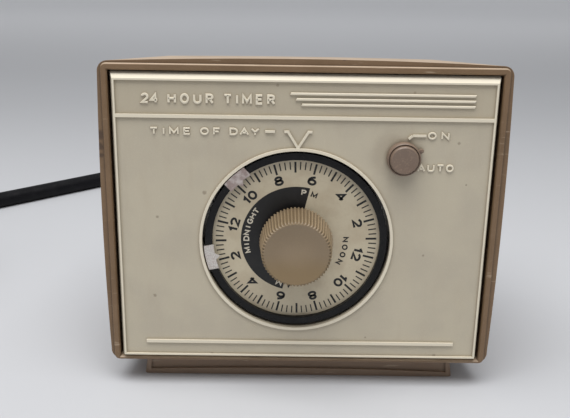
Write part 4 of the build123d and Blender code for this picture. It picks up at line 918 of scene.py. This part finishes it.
def ticks():
    """Long thick ticks on the hours and short thin ones on the quarters."""
    meshes = []
    for tick in range(TICKS_PER_TURN):
        degrees = PRINT_TURN + tick * 360 / TICKS_PER_TURN
        on_hour = tick % TICKS_PER_HOUR == 0
        half = HOUR_TICK_HALF_W if on_hour else QUARTER_TICK_HALF_W
        inner = HOUR_TICK_INNER_R if on_hour else QUARTER_TICK_INNER_R
        corners = [on_dial(inner, degrees, -half), on_dial(TICK_OUTER_R, degrees, -half),
                   on_dial(TICK_OUTER_R, degrees, half), on_dial(inner, degrees, half)]
        meshes.append(plate_mesh(corners, PRINT_Y, PRINT_T))
    return joined(meshes)


def numerals():
    """The even hours round the dial, their tops outward."""
    meshes = []
    for hour in range(2, 26, 2):
        text = str(hour % 12 or 12)
        degrees = dial_angle(hour)
        x, z = on_dial(NUMERAL_R, degrees)
        mesh = letters(text, NUMERAL_CAP, NUMERAL_WIDEN, NUMERAL_PEN,
                       flat_pen(NUMERAL_PEN, PRINT_T), NUMERAL_GAP)
        meshes.append(laid(mesh, x, z, degrees, PRINT_Y))
    return joined(meshes)


def ring_words(text, centre_degrees, step_degrees, radius, cap):
    """Letters one by one round the dial, clockwise, their tops outward."""
    meshes = []
    for i, letter in enumerate(text):
        degrees = centre_degrees - (i - (len(text) - 1) / 2) * step_degrees
        x, z = on_dial(radius, degrees)
        mesh = letters(letter, cap, 0.95, WORD_PEN, flat_pen(WORD_PEN, PRINT_T), 0.0)
        meshes.append(laid(mesh, x, z, degrees, PRINT_Y - PRINT_T))
    return meshes


DUSK = dial_angle(18)
DAWN = dial_angle(30)
NIGHT_R = 16.4 * MM
WORD_R = 13.9 * MM
WORD_CAP = 1.75 * MM
WORD_PEN = 0.38 * MM
NIGHT_INNER_R = 9.4 * MM
NIGHT_STEPS = 72

night_arc = [DUSK + (DAWN - DUSK) * i / NIGHT_STEPS for i in range(NIGHT_STEPS + 1)]
night = ([on_dial(NIGHT_R, degrees) for degrees in night_arc]
         + [on_dial(NIGHT_INNER_R, degrees) for degrees in reversed(night_arc)])
finished(plate_mesh(night, PRINT_Y, PRINT_T), "dial_night_band", "dial", "dial_face", INK_BLACK)
finished(ticks(), "dial_ticks", "dial", "dial_face", INK_BLACK)
finished(numerals(), "dial_numerals", "dial", "dial_face", INK_BLACK)
finished(joined(ring_words("NOON", dial_angle(12), 9.6, WORD_R, WORD_CAP)
                + ring_words("M", DUSK - 6.4, 0, WORD_R, WORD_CAP)
                + ring_words("A", DAWN + 6.0, 0, WORD_R, WORD_CAP)),
         "dial_words_day", "dial", "dial_face", INK_BLACK)
finished(joined(ring_words("MIDNIGHT", dial_angle(24) + 2, 7.2, WORD_R, WORD_CAP)
                + ring_words("P", DUSK + 5.6, 0, WORD_R, WORD_CAP)
                + ring_words("M", DAWN - 5.8, 0, WORD_R, WORD_CAP)),
         "dial_words_night", "dial", "dial_face", INK_WHITE)


# ------------------------------------------------------------------ time knob
knob_low, knob_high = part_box("time_knob")
KNOB_RIBS = 62
KNOB_STEPS = KNOB_RIBS * 6
KNOB_BASE_R = 10.9
KNOB_FRONT_R = 10.0
KNOB_NECK_R = 8.5
KNOB_STANDOFF = 1.9 * MM


def time_knob():
    """A ribbed drum that narrows to a smooth, slightly dished face."""
    back, front = knob_high.y - KNOB_STANDOFF, knob_low.y
    stations = [(KNOB_NECK_R, knob_high.y, 0.0), (KNOB_NECK_R, back + 0.02 * MM, 0.0),
                (KNOB_BASE_R - 0.7, back, 0.0), (KNOB_BASE_R - 0.12, back - 0.06 * MM, 0.4),
                (KNOB_BASE_R, back - 0.25 * MM, 0.5)]
    for share in (0.25, 0.5, 0.75, 0.93):
        stations.append((KNOB_BASE_R + (KNOB_FRONT_R - KNOB_BASE_R) * share,
                         back + (front - back) * share, 0.5))
    stations += [(KNOB_FRONT_R - 0.1, front + 0.5 * MM, 0.48),
                 (KNOB_FRONT_R - 0.3, front + 0.2 * MM, 0.4),
                 (KNOB_FRONT_R - 0.55, front + 0.04 * MM, 0.26),
                 (KNOB_FRONT_R - 0.8, front, 0.08), (KNOB_FRONT_R - 1.0, front + 0.01 * MM, 0.0),
                 (KNOB_FRONT_R - 1.2, front + 0.04 * MM, 0.0)]
    for radius in (7.6, 6.4, 5.0, 3.4, 1.8, 0.6):
        sunk = 0.6 * (1 - (radius / (KNOB_FRONT_R - 1.2)) ** 2)
        stations.append((radius, front + (0.04 + sunk) * MM, 0.0))
    rings = [turned_ring(DIAL_X, DIAL_Z, r * MM, y, KNOB_STEPS, depth * MM, KNOB_RIBS)
             for r, y, depth in stations]
    return rings_mesh(rings)


time_knob_piece = finished(time_knob(), "time_knob_ribbed", "dial", "knob_tan")
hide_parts("time_knob")


# ------------------------------------------------------------------ mode knob
mode_low, mode_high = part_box("mode_knob")
MODE_REST = 25.0


def mode_knob():
    """A round skirt with a raised boss, a groove between them and a pointer at its edge."""
    back, face, top = mode_high.y, mode_low.y + 1.0 * MM, mode_low.y
    stations = [(4.6, back), (4.8, back - 0.2 * MM), (4.8, face + 0.3 * MM),
                (4.68, face + 0.1 * MM), (4.5, face), (4.36, face + 0.05 * MM),
                (4.28, face + 0.22 * MM),
                (4.16, face + 0.22 * MM), (4.1, face), (4.1, top + 0.5 * MM),
                (3.98, top + 0.2 * MM), (3.72, top), (3.5, top), (3.2, top + 0.04 * MM),
                (2.2, top + 0.12 * MM), (1.0, top + 0.15 * MM), (0.3, top + 0.15 * MM)]
    body = rings_mesh([turned_ring(MODE_X, MODE_Z, r * MM, y, 96) for r, y in stations])
    turn = math.radians(MODE_REST)
    out = Vector((math.cos(turn), 0, math.sin(turn)))
    side = Vector((-math.sin(turn), 0, math.cos(turn)))
    centre = Vector((MODE_X, 0, MODE_Z)) + 4.9 * MM * out
    rings = []
    for width, y in ((1.0, LIP_Y - 0.15 * MM), (1.0, LIP_Y - 0.85 * MM), (0.9, LIP_Y - 1.0 * MM),
                     (0.7, LIP_Y - 1.05 * MM)):
        ring = []
        for step in range(24):
            angle = 2 * math.pi * step / 24
            along = 0.55 * (1 if math.cos(angle) > 0 else -1)
            ring.append(centre + (along + 0.65 * width * math.cos(angle)) * MM * out
                        + 0.65 * width * math.sin(angle) * MM * side + Vector((0, y, 0)))
        rings.append(ring)
    return joined([body, rings_mesh(rings)])


mode_piece = finished(mode_knob(), "mode_knob_turned", "mode", "mode_brown")
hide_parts("mode_knob")
